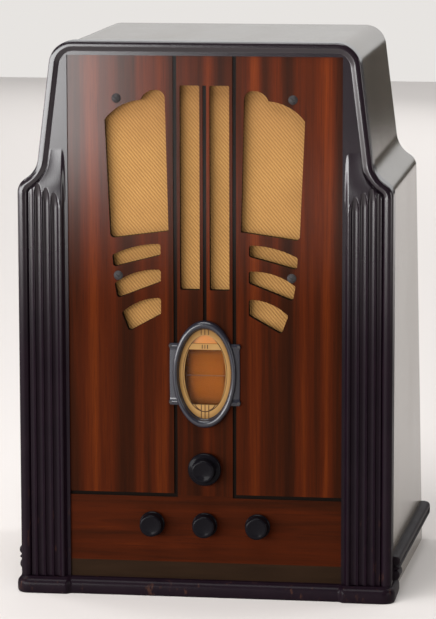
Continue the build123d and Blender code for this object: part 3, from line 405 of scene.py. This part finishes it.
def dress(finish, *nodes):
    """Puts a finish on CAD nodes that keep their shape."""
    for node in nodes:
        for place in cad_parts[node].material_slots:
            place.material = finish.material


rail_stain = Finish("rubbed_brown_rail", specular_ior_level=0.03, coat_weight=0.0, coat_roughness=0.15)
point, *_ = rail_stain.place()
streak = rail_stain.noise(rail_stain.stretched(point, (14, 1, 160)), 1.0, 5)
rail_stain.set(base_color=rail_stain.mix(streak, (0.008, 0.004, 0.002), (0.024, 0.012, 0.006)),
               roughness=0.42)
dress(rail_stain, "bottom_rail")

# ------------------------------------------------------------------ wrapped cabinet
# One bent sheet of plywood makes both sides and the top, a little inside the front frame.  It
# is lacquered outside, bare inside, and open at the back.
plywood = Finish("bare_plywood", roughness=0.7)
point, *_ = plywood.place()
streak = plywood.noise(plywood.stretched(point, (40, 3, 40)), 1.0, 5)
plywood.set(base_color=plywood.mix(streak, (0.20, 0.105, 0.045), (0.40, 0.25, 0.125)))
plywood.bump(streak, 0.0002, 0.4)
WRAP_BACK = 142.0
aged = Finish("aged_side_lacquer", specular_ior_level=0.5, specular_tint=(1.0, 0.94, 0.80), coat_weight=0.15,
              coat_roughness=0.2)
point, *_ = aged.place()
brushed = aged.noise(aged.stretched(point, (14, 5, 3)), 1.0, 5, 0.6)
aged.set(base_color=aged.mix(brushed, (0.060, 0.045, 0.030), (0.115, 0.090, 0.062)),
         roughness=0.13 + 0.13 * brushed)
aged.bump(aged.noise(aged.stretched(point, (60, 60, 12)), 1.0, 4), 0.0003, 0.3)


def inset(line, depth):
    """The line moved inwards by depth along its normal, a quarter turn from its tangent."""
    ahead = np.gradient(line, axis=0)
    ahead /= np.linalg.norm(ahead, axis=1, keepdims=True)
    return line + depth * np.stack([-ahead[:, 1], ahead[:, 0]], -1)


wrap_line = rounded_outline([(184, 0)] + outline_corners[1:-1] + [(-184, 0)], CORNER_RADII, 2.0)
WRAP_INSET, WRAP_THICK, EASED = 2.5, 9.0, 0.8
outside, inside = inset(wrap_line, WRAP_INSET), inset(wrap_line, WRAP_INSET + WRAP_THICK)
outside_eased = inset(wrap_line, WRAP_INSET + EASED)
wrap_rings = [(outside, BACK), (outside, 50.0), (outside, WRAP_BACK - EASED), (outside_eased, WRAP_BACK),
              (inside, WRAP_BACK), (inside, WRAP_BACK - EASED), (inside, 50.0), (inside, BACK)]
wrap_grid = np.stack([np.insert(line, 1, y, axis=1) for line, y in wrap_rings], 1)
SPLAY = 9.0


def splayed(points):
    """Points moved out sideways as the open back has let the sides spread: by the whole
    splay at the foot of the back, in proportion to nothing at the frame and at the shoulder."""
    share = np.clip(406 - points[..., 2], 0, None) / 406 * (points[..., 1] - BACK) / (WRAP_BACK - BACK)
    return points + np.stack([SPLAY * share * np.sign(points[..., 0]), 0 * share, 0 * share], -1)


ring_count = len(wrap_rings)
wrap_faces = grid_faces(len(wrap_line), ring_count, wrap_columns=True)
wrap_ends = np.array([[0, 1, 6, 7], [1, 2, 5, 6], [2, 3, 4, 5]])
wrap_caps = [wrap_ends + base for base in (0, (len(wrap_line) - 1) * ring_count)]
wrap = surface("cabinet_wrap_bent", splayed(wrap_grid).reshape(-1, 3) * MM,
               np.concatenate([wrap_faces, wrap_caps[0][:, ::-1], wrap_caps[1]]), aged, 30)
wrap.data.materials.append(plywood.material)
face_normals = np.empty(len(wrap.data.polygons) * 3, np.float32)
face_centres = np.empty_like(face_normals)
wrap.data.polygons.foreach_get("normal", face_normals)
wrap.data.polygons.foreach_get("center", face_centres)
face_normals, face_centres = face_normals.reshape(-1, 3), face_centres.reshape(-1, 3)
middle = np.array([0, 0, 0.25])
looks_in = ((face_centres - middle) * face_normals * [1, 0, 1]).sum(1) < -0.01
wrap.data.polygons.foreach_set("material_index", looks_in.astype(np.int32))
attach(wrap, "cabinet")
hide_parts("cabinet_wrap")

# ------------------------------------------------------------------ base moulding
# A rounded nosing along the foot of the front, stepped forward under each upright and returned
# a short way round the sides.
BASE_PROFILE = [(4.0, 0.0), (1.6, 0.0), (0.5, 1.0), (0.0, 3.0), (0.0, 8.6), (0.35, 10.6), (1.3, 12.6),
                (2.8, 14.2), (4.2, 14.9), (4.9, 15.1), (5.4, 15.7), (6.4, 16.0)]


def base_plan(set_back):
    """The nosing's edge from above, set back: straight returns, quarter circles of thirteen less
    the set-back, and a front that moves forward four on a smooth step beside each upright."""
    out_x, front_y, radius = 188.0 - set_back, -150 + set_back, 13.0 - set_back
    angle = np.linspace(0, math.pi / 2, 14)
    corner = np.stack([out_x - radius * (1 - np.cos(angle)), front_y + radius * (1 - np.sin(angle))], -1)
    front_x = np.linspace(out_x - radius, -(out_x - radius), 260)[1:-1]
    step = 4.0 * smooth_step(np.abs(front_x), 137.5, 133.0)
    run = np.stack([front_x, front_y + step], -1)
    back = np.stack([np.full(6, out_x), np.linspace(-94, front_y + radius, 7)[:-1]], -1)
    return np.concatenate([back, corner, run, corner[::-1] * [-1, 1], back[::-1] * [-1, 1]])


def moulding(name, grid, smooth):
    """A lacquered moulding from a grid whose rows are closed sections; each end section is
    capped by a strip of faces that pairs its first points with its last."""
    rows, columns = grid.shape[:2]
    index = np.arange(columns // 2 - 1)
    cap = np.stack([index, index + 1, columns - 2 - index, columns - 1 - index], -1)
    faces = [grid_faces(rows, columns, wrap_columns=True), cap[:, ::-1], cap + (rows - 1) * columns]
    return surface(name, grid.reshape(-1, 3) * MM, np.concatenate(faces), lacquer, smooth)


WRAP_SIDE = 184.0 - WRAP_INSET
plan = base_plan(0.0)
hidden = np.stack([np.clip(plan[:, 0], -WRAP_SIDE, WRAP_SIDE), np.clip(plan[:, 1] + 18, None, BACK)], -1)
levels = [(base_plan(set_back), z) for set_back, z in BASE_PROFILE] + [(hidden, 16.0), (hidden, 0.0)]
base = moulding("base_moulding_nosed", np.stack([np.insert(edge, 2, z, axis=1) for edge, z in levels], 1), 40)
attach(base, "cabinet")
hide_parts("base_moulding")

# ------------------------------------------------------------------ side mouldings
# A fat half-round over a narrow bead is planted along each side near the foot; its front end
# is rounded off and has a short second roll under it.
curve = np.linspace(0, math.pi, 15)
upper_roll = [(4.9 + 4.1 * math.sin(a), 35.9 + 4.6 * math.cos(a)) for a in curve]
lower_roll = [(6.0 + 2.6 * math.sin(a), 28.8 + 1.5 * math.cos(a)) for a in curve]
side_profile = np.array([(0.0, 41.0), (3.4, 41.0)] + upper_roll + lower_roll + [(5.0, 27.0), (0.0, 27.0)])
under_roll = [(4.6 + 4.0 * math.sin(a), 21.6 + 5.2 * math.cos(a)) for a in curve]
front_roll = np.array([(0.0, 27.0), (4.0, 27.0)] + under_roll + [(4.0, 16.2), (2.0, 16.2), (0.0, 16.2)])
ROUNDED = 3.0            # length of the rounded front end


def planted(name, side, profile, start, end):
    """A moulding planted on one side: the profile's reach and height carried along the side,
    its reach falling away over the rounded front end on a quarter ellipse."""
    nose = start + ROUNDED * (1 - np.cos(np.linspace(0, math.pi / 2, 8)))
    along = np.concatenate([nose, np.linspace(start + ROUNDED, end, 40)[1:]])
    swell = np.sqrt(np.clip(1 - ((start + ROUNDED - along).clip(0) / ROUNDED) ** 2, 0.02, 1))
    reach = WRAP_SIDE + profile[:, 0] * (0.35 + 0.65 * swell[:, None])
    grid = splayed(np.stack([side * reach, np.broadcast_to(along[:, None], reach.shape),
                             np.broadcast_to(profile[:, 1], reach.shape)], -1))
    return moulding(name, grid, 35)


for side, word in ((-1, "left"), (1, "right")):
    for piece in (planted(word + "_side_roll", side, side_profile, BACK, WRAP_BACK),
                  planted(word + "_front_roll", side, front_roll, BACK, -94.0)):
        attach(piece, "cabinet")
        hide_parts(word + "_side_moulding")

# ------------------------------------------------------------------ veneered panel
# Plywood faced with striped walnut, cut right through for the grille.  The cut edges and the
# inlay grooves are painted black, and below the cross groove the grain runs sideways.
veneer = Finish("striped_walnut", specular_ior_level=0.02, coat_roughness=0.13)
point, along_x, along_y, along_z = veneer.place()
wander = veneer.noise(veneer.stretched(point, (9, 1, 1.2)), 1.0, 3)
across = along_x * 1000 + (wander - 0.5) * 10
upright = veneer.noise(veneer.stretched(point, (95, 1, 2.2)), 1.0, 5, 0.65, 0.3)
fine = veneer.noise(veneer.stretched(point, (900, 1, 26)), 1.0, 3, 0.6)
bands = (across * 0.27 + 0.6).sine() * 0.13 + (abs(across) * 0.105 + 2.6).sine() * 0.16
stripe = (upright - 0.5) * 1.2 + bands + 0.5
level = veneer.noise(veneer.stretched(point, (3, 1, 70)), 1.0, 5, 0.65, 0.4)
fine_level = veneer.noise(veneer.stretched(point, (26, 1, 700)), 1.0, 3, 0.6)
low_zone = along_z.below(0.100)
figure = stripe * (1 - low_zone) + ((level - 0.5) * 1.2 + 0.52) * low_zone
grain = fine * (1 - low_zone) + fine_level * low_zone
walnut = veneer.colours(figure, (0.0, (0.012, 0.0036, 0.0014)), (0.35, (0.034, 0.0070, 0.0018)),
                        (0.62, (0.070, 0.0112, 0.0022)), (1.0, (0.150, 0.027, 0.0040)))
darkened = veneer.mix(along_z.ramp(0.44, 0.24) * 0.42, walnut, (0.004, 0.0012, 0.0005))
pored = veneer.mix(grain.ramp(0.5, 0.75) * 0.4, darkened, (0.010, 0.003, 0.0015))
cut = along_y.above(-0.1346)
veneer.set(base_color=veneer.mix(cut, pored, (0.006, 0.004, 0.003)),
           roughness=0.42 + 0.14 * grain + 0.2 * cut, coat_weight=0.62 * along_z.ramp(0.28, 0.46))
veneer.bump(grain, 0.00012, 0.5)
dress(veneer, "front_panel")

# ------------------------------------------------------------------ grille cloth
# A square of gold and tan cloth, woven with a raised diagonal rib, stretched over the speaker
# board behind the panel and cut away round the dial.
cloth = Finish("gold_grille_cloth", roughness=0.85, sheen_weight=0.15)
point, along_x, along_y, along_z = cloth.place()
waver = cloth.noise(point, 60, 3)
rib = ((along_x * 1.15 + along_z) * 1550 + waver * 2.2).sine() * 0.5 + 0.5
thread = ((along_x - along_z * 1.1) * 3800).sine() * 0.5 + 0.5
blotch = cloth.noise(point, 22, 4)
slub = cloth.noise(cloth.stretched(point, (1, 1, 0.35), (0, 0.8, 0)), 900, 2, 0.7)
weave = (rib * 0.45 + thread * 0.2 + slub * 0.45) * (0.66 + blotch * 0.5)
# Darker towards the top of the cloth: partly a brown stain, partly painted shade under the top edges of the
# openings.
stain_and_shade = along_z.ramp(0.43, 0.53) * 0.42
gold = cloth.colours(weave, (0.0, (0.145, 0.060, 0.0125)), (0.45, (0.295, 0.140, 0.031)),
                     (1.0, (0.465, 0.252, 0.070)))
cloth.set(base_color=cloth.mix(stain_and_shade, gold, (0.20, 0.075, 0.020)))
cloth.bump(rib * 0.7 + thread * 0.3, 0.0004, 0.7)
cloth_low, cloth_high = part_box("grille_cloth")
cloth_x = np.linspace(cloth_low[0], cloth_high[0], 113)
cloth_z = np.linspace(cloth_low[2], cloth_high[2], 129)
grid_x, grid_z = np.meshgrid(cloth_x, cloth_z)
sag = 0.00012 * np.sin(grid_x * 190) * np.sin(grid_z * 170)
front = np.stack([grid_x, cloth_low[1] + 0.0003 + sag, grid_z], -1)
behind = np.stack([grid_x, cloth_low[1] + 0.0009 + sag, grid_z], -1)
keep = ~((np.abs(grid_x[:-1, :-1] + 0.001) < 0.038) & (grid_z[:-1, :-1] < 0.2715)).ravel()
sheet_faces = grid_faces(*grid_x.shape)[keep]
grille = surface("grille_cloth_woven", front.reshape(-1, 3), sheet_faces, cloth)
thickness = grille.modifiers.new("thickness", "SOLIDIFY")
thickness.thickness = 0.0006
thickness.offset = -1.0
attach(grille, "cabinet")
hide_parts("grille_cloth")

# ------------------------------------------------------------------ dial surround
# An oval of black moulding pinned to the panel over the dial, rounded outwards and falling to
# a thin inner lip, with a flat ear on each side that carries two pins.
DIAL = 221.7


def turned_piece(name, centre, profile, finish, spokes=72, relief=None, smooth=35):
    """A piece turned about a front-to-back axis.  The profile gives forward place and radius;
    relief adds to the radius as a function of the turn and the profile's place.  The first and
    last rings are small and are closed across by strips of faces."""
    forward, radius = np.array(profile, float).T
    turn = np.linspace(0, 2 * math.pi, spokes, endpoint=False)[:, None]
    reach = radius + (relief(turn, forward, radius) if relief else 0)
    forward = np.broadcast_to(forward, (spokes, len(radius)))
    reach = np.broadcast_to(reach, forward.shape)
    points = np.stack([centre[0] + reach * np.cos(turn), -forward, centre[1] + reach * np.sin(turn)], -1)
    faces = grid_faces(*reach.shape, wrap_rows=True)
    half = np.arange(spokes // 2 - 1)
    pole = np.stack([half, half + 1, spokes - 2 - half, spokes - 1 - half], -1) * len(radius)
    faces = np.concatenate([faces, pole, pole[:, ::-1] + len(radius) - 1])
    return surface(name, points.reshape(-1, 3) * MM, faces, finish, smooth)


def oval_ring(name, centre, outer, inner, profile, finish, spokes=160):
    """A ring swept round an oval: profile gives how far across from the inner edge (0) to the
    outer (1), and how far forward; each point lies between the two ovals at that share."""
    share, forward = np.array(profile, float).T
    turn = np.linspace(0, 2 * math.pi, spokes, endpoint=False)[:, None]
    half_x = inner[0] + (outer[0] - inner[0]) * share
    half_z = inner[1] + (outer[1] - inner[1]) * share
    points = np.stack([half_x * np.cos(turn), np.broadcast_to(-forward, (spokes, len(share))),
                       centre + half_z * np.sin(turn)], -1)
    return surface(name, points.reshape(-1, 3) * MM,
                   grid_faces(spokes, len(share), wrap_rows=True, wrap_columns=True), finish, 40)


enamel = Finish("black_enamel", base_color=(0.009, 0.009, 0.015), specular_ior_level=0.2, coat_weight=0.7,
                coat_roughness=0.12)
point, *_ = enamel.place()
enamel.set(roughness=0.34 + 0.16 * enamel.noise(point, 90, 4))
enamel.bump(enamel.noise(point, 220, 3), 0.0003, 0.2)
arc = np.linspace(0, math.pi, 18)
crown = [(0.56 - 0.44 * math.cos(a), 137.3 + 4.2 * math.sin(a) ** 0.8) for a in arc]
ring_profile = [(0.0, 135.0), (0.0, 136.0), (0.06, 136.9)] + crown + [(1.0, 136.6), (1.0, 135.0)]
ring = oval_ring("dial_surround_ring", DIAL, (31.5, 53.0), (25.6, 44.3), ring_profile, enamel)


def ear(side):
    """The flat ear on one side: rows climb from its foot to its head, and the outer edge
    follows a shallow bow with a small round swelling at each pin."""
    climb = np.linspace(0, 1, 61)
    z = 191.0 + climb * 61.0
    swell = np.exp(-((z - 193.8) / 1.9) ** 2) + np.exp(-((z - 249.3) / 1.9) ** 2)
    reach = 34.4 + 1.1 * swell + 0.5 * np.sin(climb * math.pi)
    inner = 31.0 * np.sqrt(np.clip(1 - ((z - DIAL) / 54) ** 2, 0, 1)) - 2.0
    height = 2.2 + 1.0 * swell
    section = np.stack([
        np.stack([inner, 135 + 0 * z, z], -1), np.stack([inner, 135 + height, z], -1),
        np.stack([reach - 1.4, 135 + height, z], -1), np.stack([reach - 0.4, 135 + height - 0.4, z], -1),
        np.stack([reach, 135 + height - 1.2, z], -1), np.stack([reach, 135 + 0 * z, z], -1)], 1)
    section *= np.array([side, -1, 1])
    rows, columns = section.shape[:2]
    caps = [np.array([[0, 1, 4, 5], [1, 2, 3, 4]]) + base for base in (0, (rows - 1) * columns)]
    faces = np.concatenate([grid_faces(rows, columns, wrap_columns=True), caps[0][:, ::-1], caps[1]])
    word = "right" if side > 0 else "left"
    return surface("dial_surround_ear_" + word, section.reshape(-1, 3) * MM, faces, enamel, 30)


for piece in (ring, ear(-1), ear(1)):
    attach(piece, "cabinet")
    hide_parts("dial_escutcheon")

# ------------------------------------------------------------------ dial mask
# A thin plate enamelled cream and gold inside the surround, with thin brown lines round its
# oval rim, two short bars at the top, four in the middle strip and a fan of lines at the foot.
card = Finish("cream_mask", roughness=0.45, specular_ior_level=0.08)
point, along_x, along_y, along_z = card.place()
across, up = along_x * 1000, along_z * 1000 - DIAL
oval = ((across / 25.6) ** 2 + (up / 44.3) ** 2) ** 0.5
rim_line = abs(oval - 0.845).below(0.012)


def bar(middle, half):
    return abs(abs(across) - middle).below(half)


top_bars = (bar(0.0, 0.45) + bar(3.6, 0.45)) * up.above(38.6)
strip_bars = (bar(0.0, 0.4) + bar(2.6, 0.5)) * up.above(25.0) * up.below(29.0)
foot = up.below(-30.6) * oval.below(0.845)
foot_bars = (bar(0.0, 0.45) + bar(3.7, 0.45)) * up.below(-30.6)
foot_arc = abs((across ** 2 + (up + 26) ** 2) ** 0.5 - 11.0).below(0.5) * foot * abs(across).above(4.2)
lines = (rim_line + top_bars + strip_bars + foot_bars + foot_arc).low(1.0)
age = card.noise(point, 60, 4)
# Darker towards the outer rim as painted shade under the surround's raised lip, mottled with age noise.
rim_shade_and_age = oval.ramp(0.84, 1.02) * 0.45 + age * 0.35
cream = card.mix(rim_shade_and_age, (0.33, 0.19, 0.066), (0.15, 0.072, 0.019))
card.set(base_color=card.mix(lines, cream, (0.05, 0.022, 0.01)), roughness=0.38 + 0.2 * age)
dress(card, "dial_mask")

# ------------------------------------------------------------------ scale behind the window
# Amber celluloid printed with fine dark arcs and small marks, lit from both sides.
scale = Finish("amber_scale", roughness=0.5, specular_ior_level=0.05)
point, along_x, along_y, along_z = scale.place()
across, up = along_x * 1000, along_z * 1000
radius = (across ** 2 + (up - 127.5) ** 2) ** 0.5
waver = scale.noise(point, 300, 2)
arcs = abs(((radius + waver) * 0.46 + 0.9).sine()).ramp(0.16, 0.0)
marks = abs((across * 1.9 + 0.4).sine()).above(0.9) * abs((radius * 0.46 + 0.2).sine()).below(0.22)
marks *= abs(across).below(15)
shadow = (abs(across) / 21).ramp(0.62, 1.0).high(up.ramp(236.0, 246.0)).high(up.ramp(199.0, 190.0) * 0.6)
amber = scale.mix(shadow, (0.28, 0.080, 0.004), (0.07, 0.019, 0.002))
amber = scale.mix(scale.noise(point, 60, 4) * 0.5, amber, (0.19, 0.050, 0.003))
scale.set(base_color=scale.mix((arcs * 0.5 + marks * 0.45).low(0.75), amber, (0.07, 0.02, 0.005)))
dress(scale, "scale_plate")


def mottled(name, first, second, scale, rough, **sockets):
    """A finish whose colour and roughness drift between two values over the surface."""
    made = Finish(name, **sockets)
    point, *_ = made.place()
    drift = made.noise(point, scale, 5, 0.6)
    made.set(base_color=made.mix(drift, first, second), roughness=rough + 0.2 * drift)
    return made


pointer_red = mottled("pointer_enamel", (0.07, 0.014, 0.006), (0.12, 0.030, 0.012), 400, 0.25)
dress(pointer_red, "scale_pointer")

glass = Finish("clear_pane", roughness=0.03, transmission_weight=1.0, ior=1.15)
point, *_ = glass.place()
glass.set(base_color=glass.mix(glass.noise(point, 70, 4), (1.0, 0.97, 0.90), (1.0, 0.99, 0.96)))
dress(glass, "dial_glass")
amber_glass = mottled("amber_pane", (0.36, 0.115, 0.010), (0.46, 0.165, 0.016), 90, 0.12, coat_weight=0.3)
dress(amber_glass, "amber_lens")

# ------------------------------------------------------------------ knobs
# Black moulded Bakelite, polished: a stepped skirt, a body with fine grip ribs, a rounded
# shoulder and a slightly hollow face.  Each is pressed on the flat of its quarter-inch spindle.
bakelite = Finish("black_bakelite", base_color=(0.004, 0.0035, 0.0048), specular_ior_level=0.02,
                  coat_weight=0.07, coat_roughness=0.1)
point, *_ = bakelite.place()
bakelite.set(roughness=0.26 + 0.14 * bakelite.noise(point, 120, 4))


def knob(name, centre, profile, ribbed, body, node):
    """A knob: its profile of forward place and radius turned about the spindle; the grip ribs
    add a small cosine of the turn to the radius over the ribbed stretch of the body."""

    def ribs(turn, forward, reach):
        low, high = ribbed
        stretch = smooth_step(forward, low, low + 1) * smooth_step(forward, high, high - 1)
        return 0.2 * np.cos(turn * 48) * stretch

    piece = turned_piece(name, centre, profile, bakelite, 192, ribs, 40)
    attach(piece, body)
    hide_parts(node)


def rounded_nose(nose, radius, corner, hollow):
    """The front of a knob: a quarter round into a rim, then a face hollowed by a parabola."""
    turn = np.linspace(0, math.pi / 2, 9)
    bend = [(nose - corner * (1 - math.sin(a)), radius - corner * (1 - math.cos(a))) for a in turn]
    shares = (0.9, 0.75, 0.55, 0.35, 0.15, 0.02)
    return bend + [(nose - hollow * (1 - t * t), (radius - corner) * t) for t in shares]


REAR = 137.5             # the knobs' backs, just clear of the panel


def from_rear(*steps):
    """Profile points given by their distance in front of the knobs' backs."""
    return [(REAR + forward, radius) for forward, radius in steps]


tuning_profile = from_rear((10, 0.1), (10, 3.0), (0, 3.0), (0, 15.2), (0.4, 16.0), (1.0, 16.3), (3.2, 16.3),
                           (4.4, 15.9), (5.0, 15.0), (5.4, 13.4), (6.0, 12.2), (7.0, 11.9))
knob("tuning_knob_ribbed", (0, 127.5), tuning_profile + rounded_nose(REAR + 16.0, 11.6, 2.4, 0.9),
     (REAR + 6.6, REAR + 13.6), "tuning", "tuning_knob")
small_profile = from_rear((9, 0.1), (9, 3.0), (0, 3.0), (0, 11.6), (0.3, 12.2), (0.8, 12.4), (1.8, 12.4),
                          (2.3, 12.1), (2.7, 11.5), (3.6, 11.3))
for body, x in (("volume", -52.3), ("tone", 0.0), ("band", 52.3)):
    knob(body + "_knob_ribbed", (x, 71.5), small_profile + rounded_nose(REAR + 13.0, 11.0, 2.2, 0.7),
         (REAR + 3.2, REAR + 10.8), body, body + "_knob")

# ------------------------------------------------------------------ chassis and what it carries
# Plated steel, aluminium cans, black enamelled transformers, glass tubes on brown bases.
plated = Finish("cadmium_plate", base_color=(0.42, 0.41, 0.38), metallic=0.9)
point, *_ = plated.place()
plated.set(roughness=0.38 + 0.25 * plated.noise(point, 40, 5))
dress(plated, "chassis_pan", "dial_bracket", "capacitor_frame", "volume_control", "tone_control",
      "band_switch", "tuning_spindle", "volume_shaft", "tone_shaft", "band_shaft", "rotor_shaft",
      "drive_balls", "guide_rod", "chassis_bolts", "basket_bolts")
aluminium = Finish("spun_aluminium", base_color=(0.72, 0.72, 0.72), metallic=1.0)
point, *_ = aluminium.place()
aluminium.set(roughness=0.3 + 0.2 * aluminium.noise(aluminium.stretched(point, (1, 1, 12)), 90, 4))
dress(aluminium, "rotor_plates", "stator_plates", "if_cans", "filter_capacitors")
brass = Finish("aged_brass", base_color=(0.30, 0.20, 0.09), metallic=1.0)
point, *_ = brass.place()
brass.set(roughness=0.35 + 0.3 * brass.noise(point, 150, 4))
dress(brass, "drive_housing", "cord_drum", "idler_pulley", "lamp_sockets")
screw_steel = Finish("dull_screws", metallic=0.3, specular_ior_level=0.2)
point, *_ = screw_steel.place()
tarnish = screw_steel.noise(point, 500, 4)
screw_steel.set(base_color=screw_steel.mix(tarnish, (0.012, 0.010, 0.011), (0.055, 0.050, 0.050)),
                roughness=0.45 + 0.2 * tarnish)
dress(screw_steel, "board_screws", "escutcheon_pins")
dress(enamel, "power_transformer", "output_transformer", "field_magnet", "speaker_basket")
brown = mottled("brown_bakelite", (0.018, 0.008, 0.005), (0.05, 0.024, 0.014), 120, 0.22)
dress(brown, "tube_bases", "tube_sockets")
bulb = mottled("bulb_glass", (0.80, 0.84, 0.82), (0.97, 0.98, 0.96), 25, 0.0,
               transmission_weight=0.9, ior=1.45)
dress(bulb, "tube_envelopes", "dial_lamps")
pulp = mottled("paper_pulp", (0.018, 0.016, 0.014), (0.055, 0.048, 0.040), 300, 0.75)
dress(pulp, "speaker_cone", "cone_gasket")
rubber = mottled("black_rubber", (0.012, 0.011, 0.010), (0.035, 0.032, 0.028), 140, 0.6)
dress(rubber, "rubber_feet", "cord_grommet")
dress(plywood, "speaker_board", "bottom_board")
waxed = mottled("waxed_cord", (0.14, 0.09, 0.045), (0.30, 0.22, 0.13), 1800, 0.6)
dress(waxed, "dial_cord")
